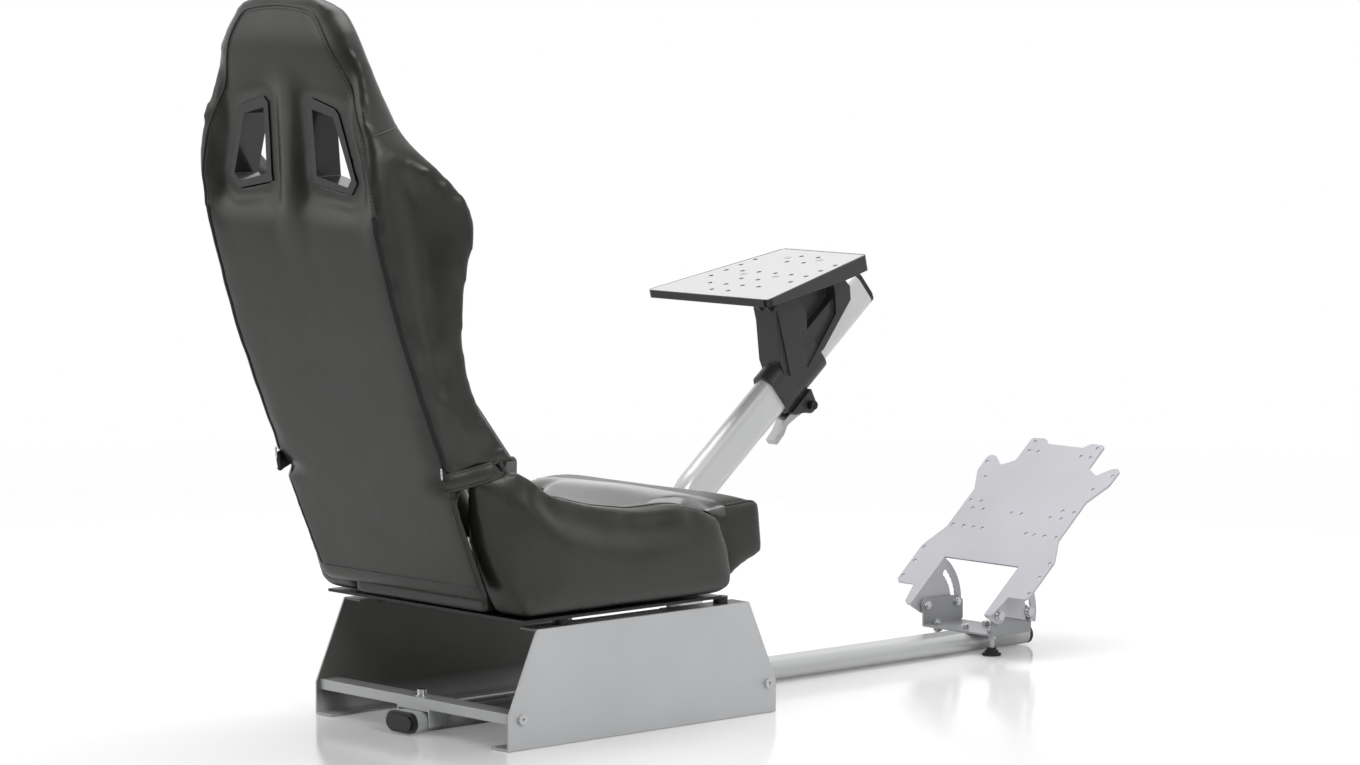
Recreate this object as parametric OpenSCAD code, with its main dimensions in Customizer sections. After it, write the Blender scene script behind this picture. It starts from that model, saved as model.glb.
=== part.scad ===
// Sim racing cockpit: folded steel side plates carry a bucket seat, a bent flat-oval
// column carries the wheel deck, and a flat-oval tube along the floor carries the pedal plate.
// Frame: origin at the centre of the base on the floor, +X forward, +Y to the driver's left, +Z up.

/* [Base frame] */
// Length of the side plates on the floor
base_len = 478; // [460:1:500]
// Width over the outer faces of the side plates
base_w = 407; // [395:1:420]
// Height of the side plates
plate_h = 156; // [150:1:160]
// Height of the upright edge at each end of a side plate
knee_h = 45; // [40:1:55]
// Setback of the plate's top edge from its ends
plate_setback = 50; // [42:1:60]
// Thickness of the folded steel sheet
sheet_t = 3; // [2.5:0.5:4]
// Width of the inward flanges
flange_w = 35; // [30:1:40]
// Distance of the floor bolt holes from the plate ends
floor_bolt_inset = 37; // [30:1:50]
// Diameter of the floor bolt holes
floor_bolt_d = 9; // [7:0.5:11]

/* [Crossbars and pedal tube] */
// Depth of a crossbar, front to back
bar_d = 30; // [26:1:34]
// Height of a crossbar
bar_h = 14; // [12:1:18]
// Height of the crossbars' underside above the floor
bar_z = 34; // [33:0.5:38]
// Distance of the rear crossbar's centre from the plate ends
bar_inset_rear = 21; // [18:1:26]
// Distance of the front crossbar's centre from the plate ends
bar_inset_front = 17; // [16:1:22]
// Width of the pedal tube
tube_w = 60; // [52:1:66]
// Height of the pedal tube
tube_h = 28; // [24:1:29]
// Gap between the pedal tube and the floor
tube_gap = 2; // [1:0.5:2]
// Wall of the pedal tube and of the column
tube_wall = 2.5; // [2:0.5:3]
// Length of the pedal tube behind the rear crossbar's centre
tube_rear_over = 31; // [28:1:38]
// Length of the pedal tube ahead of the centre of the base
tube_front = 925; // [905:1:950]
// Thickness of the end caps of the tubes
cap_t = 10; // [6:1:14]
// Diameter of the clamping screws
screw_d = 8; // [6:1:9]

/* [Wheel column] */
// Width of the column tube, seen from the side
col_w = 60; // [56:1:64]
// Thickness of the column tube, side to side
col_t = 30; // [26:1:32]
// Slope of the column above the bend
col_angle = 39.8; // [38:0.1:42]
// Position of the top of the bend ahead of the base centre
col_x = 277; // [274:1:285]
// Height of the top of the bend
col_z = 287; // [280:1:292]
// Length of the straight sloping tube
col_len = 410; // [400:1:425]
// Radius of the bend on the tube's centre line
bend_r = 60; // [55:1:64]
// Height of the cheeks of the column's foot
foot_h = 72; // [60:1:90]
// Height of the column's lower end above the crossbar
column_lift = 10; // [9:0.5:14]

/* [Wheel deck] */
// Distance of the deck's rear edge ahead of the base centre
deck_x = 296; // [292:1:302]
// Height of the deck's rear edge
deck_z = 556; // [552:1:562]
// Tilt of the deck
deck_tilt = 12.3; // [11:0.1:13]
// Length of the deck along its slope
deck_len = 236; // [228:1:245]
// Width of the deck at its rear edge
deck_w_rear = 252; // [240:1:260]
// Width of the deck at its front edge
deck_w_front = 172; // [162:1:190]
// Radius of the deck's corners
deck_corner = 9; // [6:0.5:12]
// Depth of the deck's folded edge at the rear
lip_rear = 11; // [9:1:14]
// Depth of the deck's folded edge at the front
lip_front = 22; // [18:1:24]
// Diameter of the deck's fixing holes
deck_hole_d = 6; // [5:0.5:7]
// Length of the sleeve that slides on the column
sleeve_len = 97; // [90:1:104]
// Distance of the sleeve's lower end up the column
sleeve_s = 187; // [180:1:192]
// Play between the sleeve and the column
sleeve_play = 0.6; // [0.4:0.1:1]
// Wall of the sleeve
sleeve_wall = 6; // [5:0.5:7]
// Length of the clamp lever
lever_len = 75; // [65:1:80]

/* [Pedal plate] */
// Distance of the tilt pivot ahead of the base centre
pivot_x = 805.5; // [800:0.5:808]
// Height of the tilt pivot
pivot_z = 62; // [60:0.5:64]
// Tilt of the plate
plate_tilt = 41.5; // [40:0.5:43]
// Height of the plate's upper face above the pivot, square to the plate
plate_rise = 21.4; // [20:0.1:24]
// Length of the plate above the foot of its side wings
pplate_len = 309; // [300:1:320]
// Width of the plate over its widest wings
pplate_w = 272; // [264:1:280]
// Gap between the outer faces of the two ears and the plate's centre line
ear_y = 79; // [78:0.5:81]
// Outer radius of the ears about the pivot
ear_r = 80; // [77:1:82]
// Radius of the locking slot about the pivot
slot_r = 63; // [62:0.5:65]
// Diameter of the holes in the plate
pplate_hole_d = 6; // [5:0.5:7]
// Width of the pedal bracket over its walls
bracket_w = 144; // [142:1:145]
// Height of the pedal bracket's walls
bracket_h = 41; // [40:0.5:44]
// Diameter of a levelling foot
pad_d = 28; // [24:1:30]
// Distance of the levelling feet from the centre line
pad_y = 56; // [53:1:56]

/* [Seat] */
// Overall height of the seat above the floor
seat_h = 980; // [965:1:995]
// Height of the seat pan's underside above the floor
seat_z = 166; // [162:1:168]
// Width of the seat over its side bolsters
seat_w = 464; // [450:1:474]
// Width between the side bolsters
well_w = 280; // [276:1:286]
// Distance of the fold hinge behind the base centre
hinge_x = 216; // [214:1:220]
// Height of the fold hinge
hinge_z = 375; // [372:1:378]
// Thickness of the back's rear shell
shell_t = 28; // [24:1:32]
// Thickness of the flap that hangs below the hinge
flap_t = 12; // [10:1:13]
// Distance of the seat's front ahead of the base centre
cushion_front = 221; // [216:1:224]
// Width of the cushion's front edge
cushion_w = 416; // [400:1:424]

/* [Hidden] */
$fn = 48;
bx0 = -base_len / 2;
bx1 = base_len / 2;
yo = base_w / 2;
bar_rear_x = bx0 + bar_inset_rear;
bar_front_x = bx1 - bar_inset_front;
bar_top = bar_z + bar_h;
tube_rear = tube_rear_over - bar_rear_x;
tube_z = tube_gap + tube_h / 2;
tube_top = tube_gap + tube_h;
deck_t = sheet_t;
pan_t = 4;
foam_z = seat_z + pan_t + 0.3;
// Heights on the back are stretched with the seat's height above the hinge
ks = (seat_h - hinge_z) / 605;
// Widths on the back follow the width over the bolsters
kw = seat_w / 464;
// Harness windows follow the width between the bolsters
kwin = well_w / 280;
col_vx = col_x - bend_r * (1 - sin(col_angle));
col_vz = col_z - bend_r * cos(col_angle);

// A slab between two planes across the seat, drawn in side view
module side_slab(y0, y1) {
    translate([0, y1, 0]) rotate([90, 0, 0]) linear_extrude(y1 - y0) children();
}
// A slab between two planes along the cockpit, drawn in rear view
module rear_slab(x0, x1) {
    translate([x0, 0, 0]) rotate([90, 0, 90]) linear_extrude(x1 - x0) children();
}
// Flat-oval section, w across and h high
module oval(w, h) {
    union() {
        square([w - h, h], center = true);
        translate([-(w - h) / 2, 0]) circle(d = h);
        translate([(w - h) / 2, 0]) circle(d = h);
    }
}
module rounded(w, h, r) {
    union() {
        square([w - 2 * r, h], center = true);
        square([w, h - 2 * r], center = true);
        for (i = [-1, 1], j = [-1, 1]) translate([i * (w / 2 - r), j * (h / 2 - r)]) circle(r = r);
    }
}
module at_bars() {
    translate([bar_rear_x, 0, 0]) children();
    translate([bar_front_x, 0, 0]) children();
}
module on_column() {
    translate([col_x, 0, col_z]) rotate([0, -col_angle, 0]) children();
}
module on_deck() {
    translate([deck_x, 0, deck_z]) rotate([0, -deck_tilt, 0]) children();
}
module on_pedals() {
    translate([pivot_x, 0, pivot_z]) rotate([0, -plate_tilt, 0]) children();
}

// Side plate: trapezoid sheet with inward flanges along its top and bottom
module side_plate() {
    difference() {
        union() {
            side_slab(yo - sheet_t, yo) polygon([[bx0, 0], [bx0, knee_h],
                [bx0 + plate_setback, plate_h], [bx1 - plate_setback, plate_h],
                [bx1, knee_h], [bx1, 0]]);
            translate([bx0, yo - flange_w, 0]) cube([base_len, flange_w, sheet_t]);
            translate([bx0 + plate_setback, yo - flange_w, plate_h - sheet_t])
                cube([base_len - 2 * plate_setback, flange_w, sheet_t]);
        }
        at_bars() translate([0, yo - 10, bar_z + bar_h / 2]) rotate([-90, 0, 0])
            cylinder(h = 20, d = screw_d + 0.6);
        for (x = [bx0 + floor_bolt_inset, bx1 - floor_bolt_inset])
            translate([x, yo - flange_w / 2, -1]) cylinder(h = sheet_t + 2, d = floor_bolt_d);
        for (x = spacer_x) translate([x, yo - flange_w / 2, plate_h - sheet_t - 1])
            cylinder(h = sheet_t + 2, d = screw_d + 0.6);
    }
}
spacer_x = [bx0 + 105, bx1 - 87];
module side_plate_left() {
    color("#b2b4b6") side_plate();
}
module side_plate_right() {
    color("#b2b4b6") mirror([0, 1, 0]) side_plate();
}

// Crossbar: rectangular steel section between the side plates
module crossbar() {
    difference() {
        translate([-bar_d / 2, -yo + sheet_t, bar_z]) cube([bar_d, base_w - 2 * sheet_t, bar_h]);
        for (s = [-1, 1]) translate([0, s * (yo - sheet_t), bar_z + bar_h / 2]) rotate([90, 0, 0])
            cylinder(h = 40, d = screw_d + 0.4, center = true);
        translate([0, 0, bar_z - 1]) cylinder(h = bar_h + 2, d = screw_d + 0.6);
    }
}
module rear_crossbar() {
    color("#c2c4c6") translate([bar_rear_x, 0, 0]) crossbar();
}
module front_crossbar() {
    color("#c2c4c6") translate([bar_front_x, 0, 0]) crossbar();
}
module crossbar_bolts() {
    color("#d8d8da") at_bars() for (s = [-1, 1]) translate([0, s * yo, bar_z + bar_h / 2])
        rotate([-s * 90, 0, 0]) bolt(screw_d, 18 + sheet_t, 6);
}
// Socket-head bolt: head above z = 0, shank below
module bolt(d, l, head_h) {
    difference() {
        union() {
            cylinder(h = head_h, d = d * 1.6);
            translate([0, 0, -l]) cylinder(h = l + 0.5, d = d);
        }
        translate([0, 0, head_h / 2]) cylinder(h = head_h, d = d * 0.75, $fn = 6);
    }
}

// Guides under the crossbars: a top plate and two short cheeks beside the pedal tube
module tube_guides() {
    color("#c2c4c6") at_bars() difference() {
        union() {
            translate([-bar_d / 2, -tube_w / 2 - 4, tube_top + 0.5])
                cube([bar_d, tube_w + 8, bar_z - tube_top - 0.5]);
            for (s = [-1, 1]) translate([-bar_d / 2, s * (tube_w / 2 + 2.5) - 1.5, tube_z - 6])
                cube([bar_d, 3, bar_z - tube_z + 6]);
        }
        translate([0, 0, tube_z]) cylinder(h = bar_z, d = screw_d + 0.6);
    }
}
// Clamping screws with a T-nut inside the pedal tube
module clamp_screws() {
    color("#d8d8da") at_bars() union() {
        translate([0, 0, bar_top]) cylinder(h = 1.6, d = screw_d * 2.2);
        translate([0, 0, bar_top + 1.5]) cylinder(h = 7, d = screw_d * 1.6);
        translate([0, 0, tube_z]) cylinder(h = bar_top - tube_z + 1, d = screw_d);
        translate([-9, -12, tube_top - tube_wall - 6.5]) cube([18, 24, 6]);
    }
}

// Column foot: base plate on the front crossbar with a cheek on each side of the tube
module column_foot() {
    color("#9a9c9e") difference() {
        union() {
            translate([bar_front_x - bar_d / 2, -col_t / 2 - 26, bar_top])
                cube([col_vx + col_w / 2 + 6 - bar_front_x + bar_d / 2, col_t + 52, 6]);
            for (s = [-1, 1]) translate([0, s * (col_t / 2 + 2.3), 0]) side_slab(-2, 2)
                polygon([[col_vx - col_w / 2, bar_top + 5],
                    [col_vx - col_w / 2, bar_top + foot_h], [col_vx + col_w / 2, bar_top + foot_h],
                    [col_vx + col_w / 2 + 4, bar_top + 5]]);
        }
        translate([bar_front_x, 0, 0]) cylinder(h = 200, d = screw_d * 2.2 + 2);
        for (z = [22, foot_h - 16]) translate([col_vx, 0, bar_top + z]) rotate([90, 0, 0])
            cylinder(h = 80, d = screw_d + 0.6, center = true);
    }
}
// Column tube: upright in the foot, then a bend, then the sloping part
module column_tube() {
    color("#cfd0d2") difference() {
        column_run(col_w, col_t, 0);
        column_run(col_w - 2 * tube_wall, col_t - 2 * tube_wall, 2);
        for (z = [22, foot_h - 16]) translate([col_vx, 0, bar_top + z]) rotate([90, 0, 0])
            cylinder(h = 80, d = screw_d + 0.6, center = true);
    }
}
// The straight parts enter the bend, which is bend_swell larger all round
bend_swell = 0.2;
module column_run(w, h, over) {
    union() {
        translate([col_vx, 0, bar_top + column_lift - over])
            linear_extrude(col_vz - bar_top - column_lift + over + 1) oval(w, h);
        translate([col_vx + bend_r, 0, col_vz]) rotate([90, 0, 0]) rotate([0, 0, 90 + col_angle])
            rotate_extrude(angle = 90 - col_angle, $fn = 96) translate([bend_r, 0])
                oval(w + 2 * bend_swell, h + 2 * bend_swell);
        on_column() translate([-1, 0, 0]) rotate([90, 0, 90])
            linear_extrude(col_len + over + 1) rotate(90) oval(w, h);
    }
}
// Bolts through the foot's cheeks and the column
module column_bolts() {
    color("#d8d8da") for (z = [22, foot_h - 16]) translate([col_vx, 0, bar_top + z]) rotate([90, 0, 0]) union() {
        translate([0, 0, -col_t / 2 - 11]) cylinder(h = col_t + 22, d = screw_d);
        translate([0, 0, col_t / 2 + 4.3]) cylinder(h = 6, d = screw_d * 1.6);
        translate([0, 0, -col_t / 2 - 10.3]) cylinder(h = 6, d = screw_d * 1.7, $fn = 6);
    }
}
module column_cap() {
    color("#1c1c1e") on_column() translate([col_len, 0, 0]) rotate([90, 0, 90]) rotate(90) union() {
        linear_extrude(cap_t - 4) oval(col_w, col_t);
        linear_extrude(cap_t) oval(col_w - 8, col_t - 8);
        translate([0, 0, -8]) linear_extrude(9)
            oval(col_w - 2 * tube_wall - 0.4, col_t - 2 * tube_wall - 0.4);
    }
}

// Seat spacers: turned feet between the plates' top flanges and the seat pan
module seat_spacers() {
    color("#d8d8da") for (x = spacer_x, s = [-1, 1]) translate([x, s * (yo - flange_w / 2), 0]) union() {
        translate([0, 0, plate_h]) cylinder(h = seat_z - plate_h, d = 20);
        translate([0, 0, plate_h - sheet_t - 6]) cylinder(h = sheet_t + 7, d = screw_d);
        translate([0, 0, plate_h - sheet_t - 6]) cylinder(h = 6, d = screw_d * 1.6);
    }
}
module seat_pan() {
    color("#2a2a2c") translate([-214, -seat_w / 2 + 26, seat_z]) cube([350, seat_w - 52, pan_t]);
}

// Rear surface of the back in side view, as [x, z] from the flap's hem to the crown
function bz(z) = hinge_z + (z - 375) * ks;
rear_pts = [[-249, 190], [-275, 250], [-296, 300], [-316, 350], [-322, 366], [-335, 400], [-354, 450],
    [-372, 500], [-391, 550], [-407, 600], [-421, 650], [-435, 700], [-444, 750], [-447, 800],
    [-451, 850], [-453, 900], [-453, 940], [-452, 965], [-448, 980]];
// Half width of the back in rear view, as [y, z]
half_pts = [[172, 190], [180, 200], [183, 300], [185, 400], [186, 500], [189, 550], [190, 600],
    [190, 700], [189, 750], [181, 800], [163, 850], [145, 900], [130, 930], [116, 950],
    [96, 968], [60, 980]];
function rx(z, i = 1) = z <= rear_pts[i][1] || i == len(rear_pts) - 1 ?
    rear_pts[i - 1][0] + (z - rear_pts[i - 1][1]) * (rear_pts[i][0] - rear_pts[i - 1][0])
    / (rear_pts[i][1] - rear_pts[i - 1][1]) : rx(z, i + 1);
module rear_outline(grow = 0) {
    polygon(concat([for (p = half_pts) [(p[0] + grow) * kw, bz(p[1])]],
        [for (i = [len(half_pts) - 1:-1:0]) [-(half_pts[i][0] + grow) * kw, bz(half_pts[i][1])]]));
}
// Side view band between two distances ahead of the rear surface
module band(z0, z1, t0, t1) {
    zs = concat([z0], [for (p = rear_pts) if (p[1] > z0 + 1 && p[1] < z1 - 1) p[1]], [z1]);
    polygon(concat([for (z = zs) [rx(z) + t0, bz(z)]],
        [for (i = [len(zs) - 1:-1:0]) [rx(zs[i]) + t1, bz(zs[i])]]));
}
// Harness window in rear view, grown outward
win_pts = [[51, 836], [93, 827], [123, 748], [113, 738], [53, 750]];
rim_pts = [[41, 843], [50, 851], [98, 838], [105, 831], [134, 744], [119, 728], [43, 740]];
module window(pts) {
    polygon([for (p = pts) [p[0] * kwin, bz(p[1])]]);
}
module window_cut(s) {
    mirror([0, s < 0 ? 1 : 0, 0]) rear_slab(-500, -340) window(rim_pts);
}
// Hollow round the windows: sloped side walls, run-outs above and below, a ridge between
hollow_d = 18;
window_d = 54;
module hollow_wall() {
    translate([0, 0, bz(790)]) rotate([10, 0, 0]) translate([0, 0, -200]) linear_extrude(400)
        polygon([[-600, -400], [-600, 395 * kw], [-390, 80 * kw], [-390, -400]]);
}
module back_hollow() {
    difference() {
        intersection() {
            side_slab(-195, 195) polygon([[-500, bz(690)], [rx(694) - 1, bz(694)], [rx(730) + hollow_d - 2, bz(730)],
                [rx(800) + hollow_d, bz(800)], [rx(866) + hollow_d, bz(866)], [rx(925) - 1, bz(925)], [-500, bz(930)]]);
            hollow_wall();
            mirror([0, 1, 0]) hollow_wall();
        }
        translate([0, 0, bz(650)]) linear_extrude(300 * ks) polygon([[-415, -36 * kwin], [-415, 36 * kwin],
            [-441, 14 * kwin], [-441, -14 * kwin]]);
    }
}
module back_shell() {
    color("#3b3a37") difference() {
        intersection() {
            side_slab(-240, 240) union() {
                band(190, 366, 0, flap_t);
                band(362, 980, 0, shell_t);
            }
            rear_slab(-500, -200) rear_outline();
        }
        for (s = [-1, 1]) window_cut(s);
        back_hollow();
    }
}
module back_pad() {
    color("#45443f") intersection() {
        side_slab(-well_w / 2 + 7, well_w / 2 - 7) polygon(concat(
            [for (z = [270, 300, 350, 400, 450, 500, 550, 600, 650, 700]) [rx(z) + shell_t + 0.3, bz(z)]],
            [[rx(700) + 62, bz(700)], [rx(650) + 62, bz(650)], [rx(560) + 59, bz(560)],
            [rx(460) + 60, bz(460)], [rx(380) + 68, bz(380)], [rx(310) + 78, bz(310)],
            [rx(282) + 76, bz(282)], [rx(270) + 64, bz(270)]]));
        rear_slab(-500, -100) rear_outline(-2);
    }
}
// Head: thin round the windows, with thick gussets at both sides down to the wings
module head_slab(a, b, depths) {
    side_slab(a, b) polygon(concat([for (z = [702, 750, 800, 850, 900, 940, 965, 974]) [rx(z) + shell_t + 0.3, bz(z)]],
        [for (p = depths) [rx(p[0]) + p[1], bz(p[0])]]));
}
gusset_y = 139;
// Outline of the head and gusset as they turn from side to front
turn_pts = [[-60, 690], [-84, 723], [-121, 762], [-146, 784], [-168, 806], [-184, 832], [-194, 857],
    [-206, 888], [-219, 920], [-232, 949], [-246, 978], [-252, 990], [-700, 990], [-700, 690]];
module turn_prism() {
    translate([0, -(seat_w - 464) / 2, 0]) rotate([0, 0, -42.3]) side_slab(-700, 700)
        polygon([for (p = turn_pts) [p[0], bz(p[1])]]);
}
module head_pad() {
    color("#45443f") difference() {
        intersection() {
            union() {
                head_slab(-190, 190, [[974, 34], [962, 38], [940, 41], [900, 45], [860, 49], [820, 52],
                    [760, 52], [702, 58]]);
                for (s = [0, 1]) mirror([0, s, 0])
                    head_slab(gusset_y * kw, 195 * kw, [[945, 40], [900, 52], [850, 63], [803, 68]]);
            }
            rear_slab(-500, -300) polygon(concat(
                [[well_w / 2 - 1, bz(702)], [well_w / 2 - 1, bz(803)]],
                [for (p = half_pts) if (p[1] > 801) [(p[0] - 2) * kw, bz(p[1])]],
                [for (i = [len(half_pts) - 1:-1:0]) if (half_pts[i][1] > 801)
                    [-(half_pts[i][0] - 2) * kw, bz(half_pts[i][1])]],
                [[-well_w / 2 + 1, bz(803)], [-well_w / 2 + 1, bz(702)]]));
            turn_prism();
            mirror([0, 1, 0]) turn_prism();
        }
        for (s = [-1, 1]) window_cut(s);
    }
}
// Back bolster: shoulder wing above, hip support below, drawn for the left side
wing_pts = [[-393, 803], [-371, 784], [-351, 763], [-331, 742], [-315, 723], [-306, 702], [-301, 682],
    [-302, 662], [-308, 640], [-313, 596], [-310, 545], [-297, 486], [-277, 440], [-252, 404], [-221, 380]];
module back_bolster() {
    difference() {
        intersection() {
            side_slab(well_w / 2, seat_w / 2) polygon(concat(
                [for (p = wing_pts) [p[0], bz(p[1])]],
                [for (z = [368, 400, 450, 500, 550, 600, 650, 700, 750, 803])
                    [rx(z) + shell_t + 0.3, bz(z)]]));
            rear_slab(-500, -100) polygon([for (p = [[0, 300], [230, 300], [230, 640], [228, 690],
                [222, 730], [206, 770], [181, 803], [0, 803]]) [p[0] * kw, bz(p[1])]]);
            // Plan section, extruded along the back's lean
            translate([-322, 0, bz(366)]) rotate([0, -16, 0]) translate([0, 0, -60])
                linear_extrude(560) polygon([[-20, 100], [-20, 184 * kw], [40, 196 * kw],
                [90, 216 * kw], [130, 228 * kw], [175, 228 * kw], [175, 196 * kw],
                [120, 170 * kw], [88, 142], [86, 100]]);
        }
        hinge_pocket(-8, 5);
    }
}
module back_bolster_left() {
    color("#3b3a37") back_bolster();
}
module back_bolster_right() {
    color("#3b3a37") mirror([0, 1, 0]) back_bolster();
}
// Room for the hinge inside the bolsters, drawn for the left side
hinge_y = 180;
module hinge_pocket(a, b) {
    translate([-hinge_x, 0, hinge_z]) side_slab(hinge_y + a, hinge_y + b) union() {
        circle(r = 14);
        polygon([[-12, 0], [12, 0], [10, -70], [-18, -70]]);
        polygon([[9, 8], [-9, -9], [-88, 92], [-70, 106]]);
    }
}
module seat_hinge_plates() {
    color("#6a6c6e") for (s = [-1, 1]) translate([-hinge_x, s * hinge_y, hinge_z]) union() {
        side_slab(-5, -2) union() {
            circle(r = 9);
            polygon([[-9, 0], [9, 0], [7, -65], [-14, -65]]);
        }
        rotate([90, 0, 0]) cylinder(h = 10, r = 4, center = true);
    }
}
module back_hinge_arms() {
    color("#6a6c6e") for (s = [-1, 1]) translate([-hinge_x, s * hinge_y, hinge_z]) difference() {
        side_slab(2, 5) union() {
            circle(r = 9);
            polygon([[6, 6], [-7, -7], [-84, 90], [-70, 102]]);
        }
        rotate([90, 0, 0]) cylinder(h = 20, r = 4.4, center = true);
    }
}
module bezel() {
    intersection() {
        side_slab(0, 200) band(700, 870, hollow_d - 3, window_d);
        rear_slab(-500, -340) difference() {
            polygon([for (p = rim_pts) [(p[0] + (p[0] > 80 ? -0.3 : 0.3)) * kwin,
                bz(p[1] + (p[1] > 790 ? -0.3 : 0.3))]]);
            window(win_pts);
        }
    }
}
module harness_bezel_left() {
    color("#161617") bezel();
}
module harness_bezel_right() {
    color("#161617") mirror([0, 1, 0]) bezel();
}
// Zips down both edges of the back, each with its pull
zip_y = 174;
module back_zip() {
    color("#202022") for (s = [0, 1]) mirror([0, s, 0]) union() {
        side_slab(zip_y * kw - 4, zip_y * kw + 4) band(380, 705, -1.6, 0);
        side_slab(zip_y * kw - 3, zip_y * kw + 3) band(366, 392, -4.6, -1.5);
    }
}

// Seat base
cushion_pts = [[-225, 258], [-160, 254], [-80, 250], [0, 256], [70, 276], [112, 292]];
module seat_cushion() {
    color("#45443f") union() {
        side_slab(-well_w / 2 + 0.3, well_w / 2 - 0.3) polygon(concat(
            [[136, foam_z], [cushion_front - 45, 204], [cushion_front, 222],
            [cushion_front, 286], [cushion_front - 6, 296], [116, 293]],
            [for (i = [len(cushion_pts) - 1:-1:0]) cushion_pts[i]],
            [[-225, foam_z]]));
        side_slab(-cushion_w / 2, cushion_w / 2) polygon([[116, 293], [123, 280], [141, 249],
            [148, 214], [148, 186], [cushion_front - 45, 204], [cushion_front, 222],
            [cushion_front, 286], [cushion_front - 6, 296]]);
    }
}
module seat_bolster() {
    difference() {
        intersection() {
            side_slab(well_w / 2, seat_w / 2) polygon([[-291, 353], [-237, 373], [-193, 347], [-168, 331],
                [-99, 312], [-29, 302], [42, 304], [87, 294], [118, 276], [137, 247], [144, 213],
                [144, 179], [137, foam_z], [-214, foam_z], [-226, 190], [-256, 250],
                [-277, 300]]);
            rear_slab(-400, 200) polygon([[well_w / 2, foam_z], [205 * kw, foam_z], [226 * kw, 186],
                [232 * kw, 215], [232 * kw, 330], [226 * kw, 360], [212 * kw, 380], [186 * kw, 380],
                [160 * kw, 330], [well_w / 2, 272]]);
            // Plan: drawn in towards the rear, where it meets the back's cover
            linear_extrude(500) polygon([[-320, 100], [-320, 186 * kw], [-290, 192 * kw], [-250, 206 * kw],
                [-205, 224 * kw], [-165, seat_w / 2], [110, seat_w / 2], [146, 222 * kw], [146, 100]]);
        }
        hinge_pocket(-5, 8);
    }
}
module seat_bolster_left() {
    color("#3b3a37") seat_bolster();
}
module seat_bolster_right() {
    color("#3b3a37") mirror([0, 1, 0]) seat_bolster();
}

// Wheel deck: tapered sheet with folded edges and fixing holes
deck_holes = [for (u = [27, 55, 85, 120, 176, 205]) [u, 17], for (u = [87, 117, 146, 175]) [u, 82],
    for (u = [55, 119]) [u, 50]];
// Plan of the deck inset by in: slanted sides tangent to rounds at the four corners
module deck_plan(in) {
    l = deck_len - 2 * in;
    m = (deck_w_front - deck_w_rear) / 2 / l;
    k = sqrt(1 + m * m);
    r = max(deck_corner - in, 1);
    ya = deck_w_rear / 2 - in + (m - k) * r;
    yb = deck_w_front / 2 - in - (m + k) * r;
    t = r - 0.03;
    union() {
        polygon([[in + 0.03, -ya], [in + r - t * m / k, -ya - t / k], [in + l - r - t * m / k, -yb - t / k],
            [in + l - 0.03, -yb], [in + l - 0.03, yb], [in + l - r - t * m / k, yb + t / k],
            [in + r - t * m / k, ya + t / k], [in + 0.03, ya]]);
        for (s = [-1, 1]) {
            translate([in + r, s * ya]) circle(r = r);
            translate([in + l - r, s * yb]) circle(r = r);
        }
    }
}
module wheel_deck() {
    color("#d4d5d8") on_deck() difference() {
        translate([0, 0, -lip_front]) linear_extrude(lip_front) deck_plan(0);
        translate([0, 0, -lip_front - 1]) linear_extrude(lip_front + 1 - deck_t) deck_plan(deck_t);
        translate([0, -200, 0]) side_slab(0, 400) polygon([[-10, -lip_rear], [12, -lip_rear],
            [deck_len - 60, -lip_front], [deck_len - 60, -60], [-10, -60]]);
        for (p = deck_holes, s = [-1, 1]) translate([p[0], s * p[1], -10]) cylinder(h = 20, d = deck_hole_d);
        for (p = screw_uv, s = [-1, 1]) translate([p[0], s * p[1], 0]) union() {
            translate([0, 0, -10]) cylinder(h = 12, d = 5.4);
            translate([0, 0, -2.7]) cylinder(h = 2.8, d1 = 5.2, d2 = 10.4);
        }
    }
}
screw_uv = [[104, 33], [192, 33]];
// Countersunk screws, flush with the deck's face
module deck_screws() {
    color("#d8d8da") on_deck() for (p = screw_uv, s = [-1, 1]) translate([p[0], s * p[1], 0]) difference() {
        union() {
            translate([0, 0, -2.7]) cylinder(h = 2.6, d1 = 4.9, d2 = 9.8);
            translate([0, 0, -deck_t - 4]) cylinder(h = deck_t + 3, d = 5);
        }
        translate([0, 0, -1.6]) cylinder(h = 3, d = 3.4, $fn = 6);
    }
}
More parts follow.
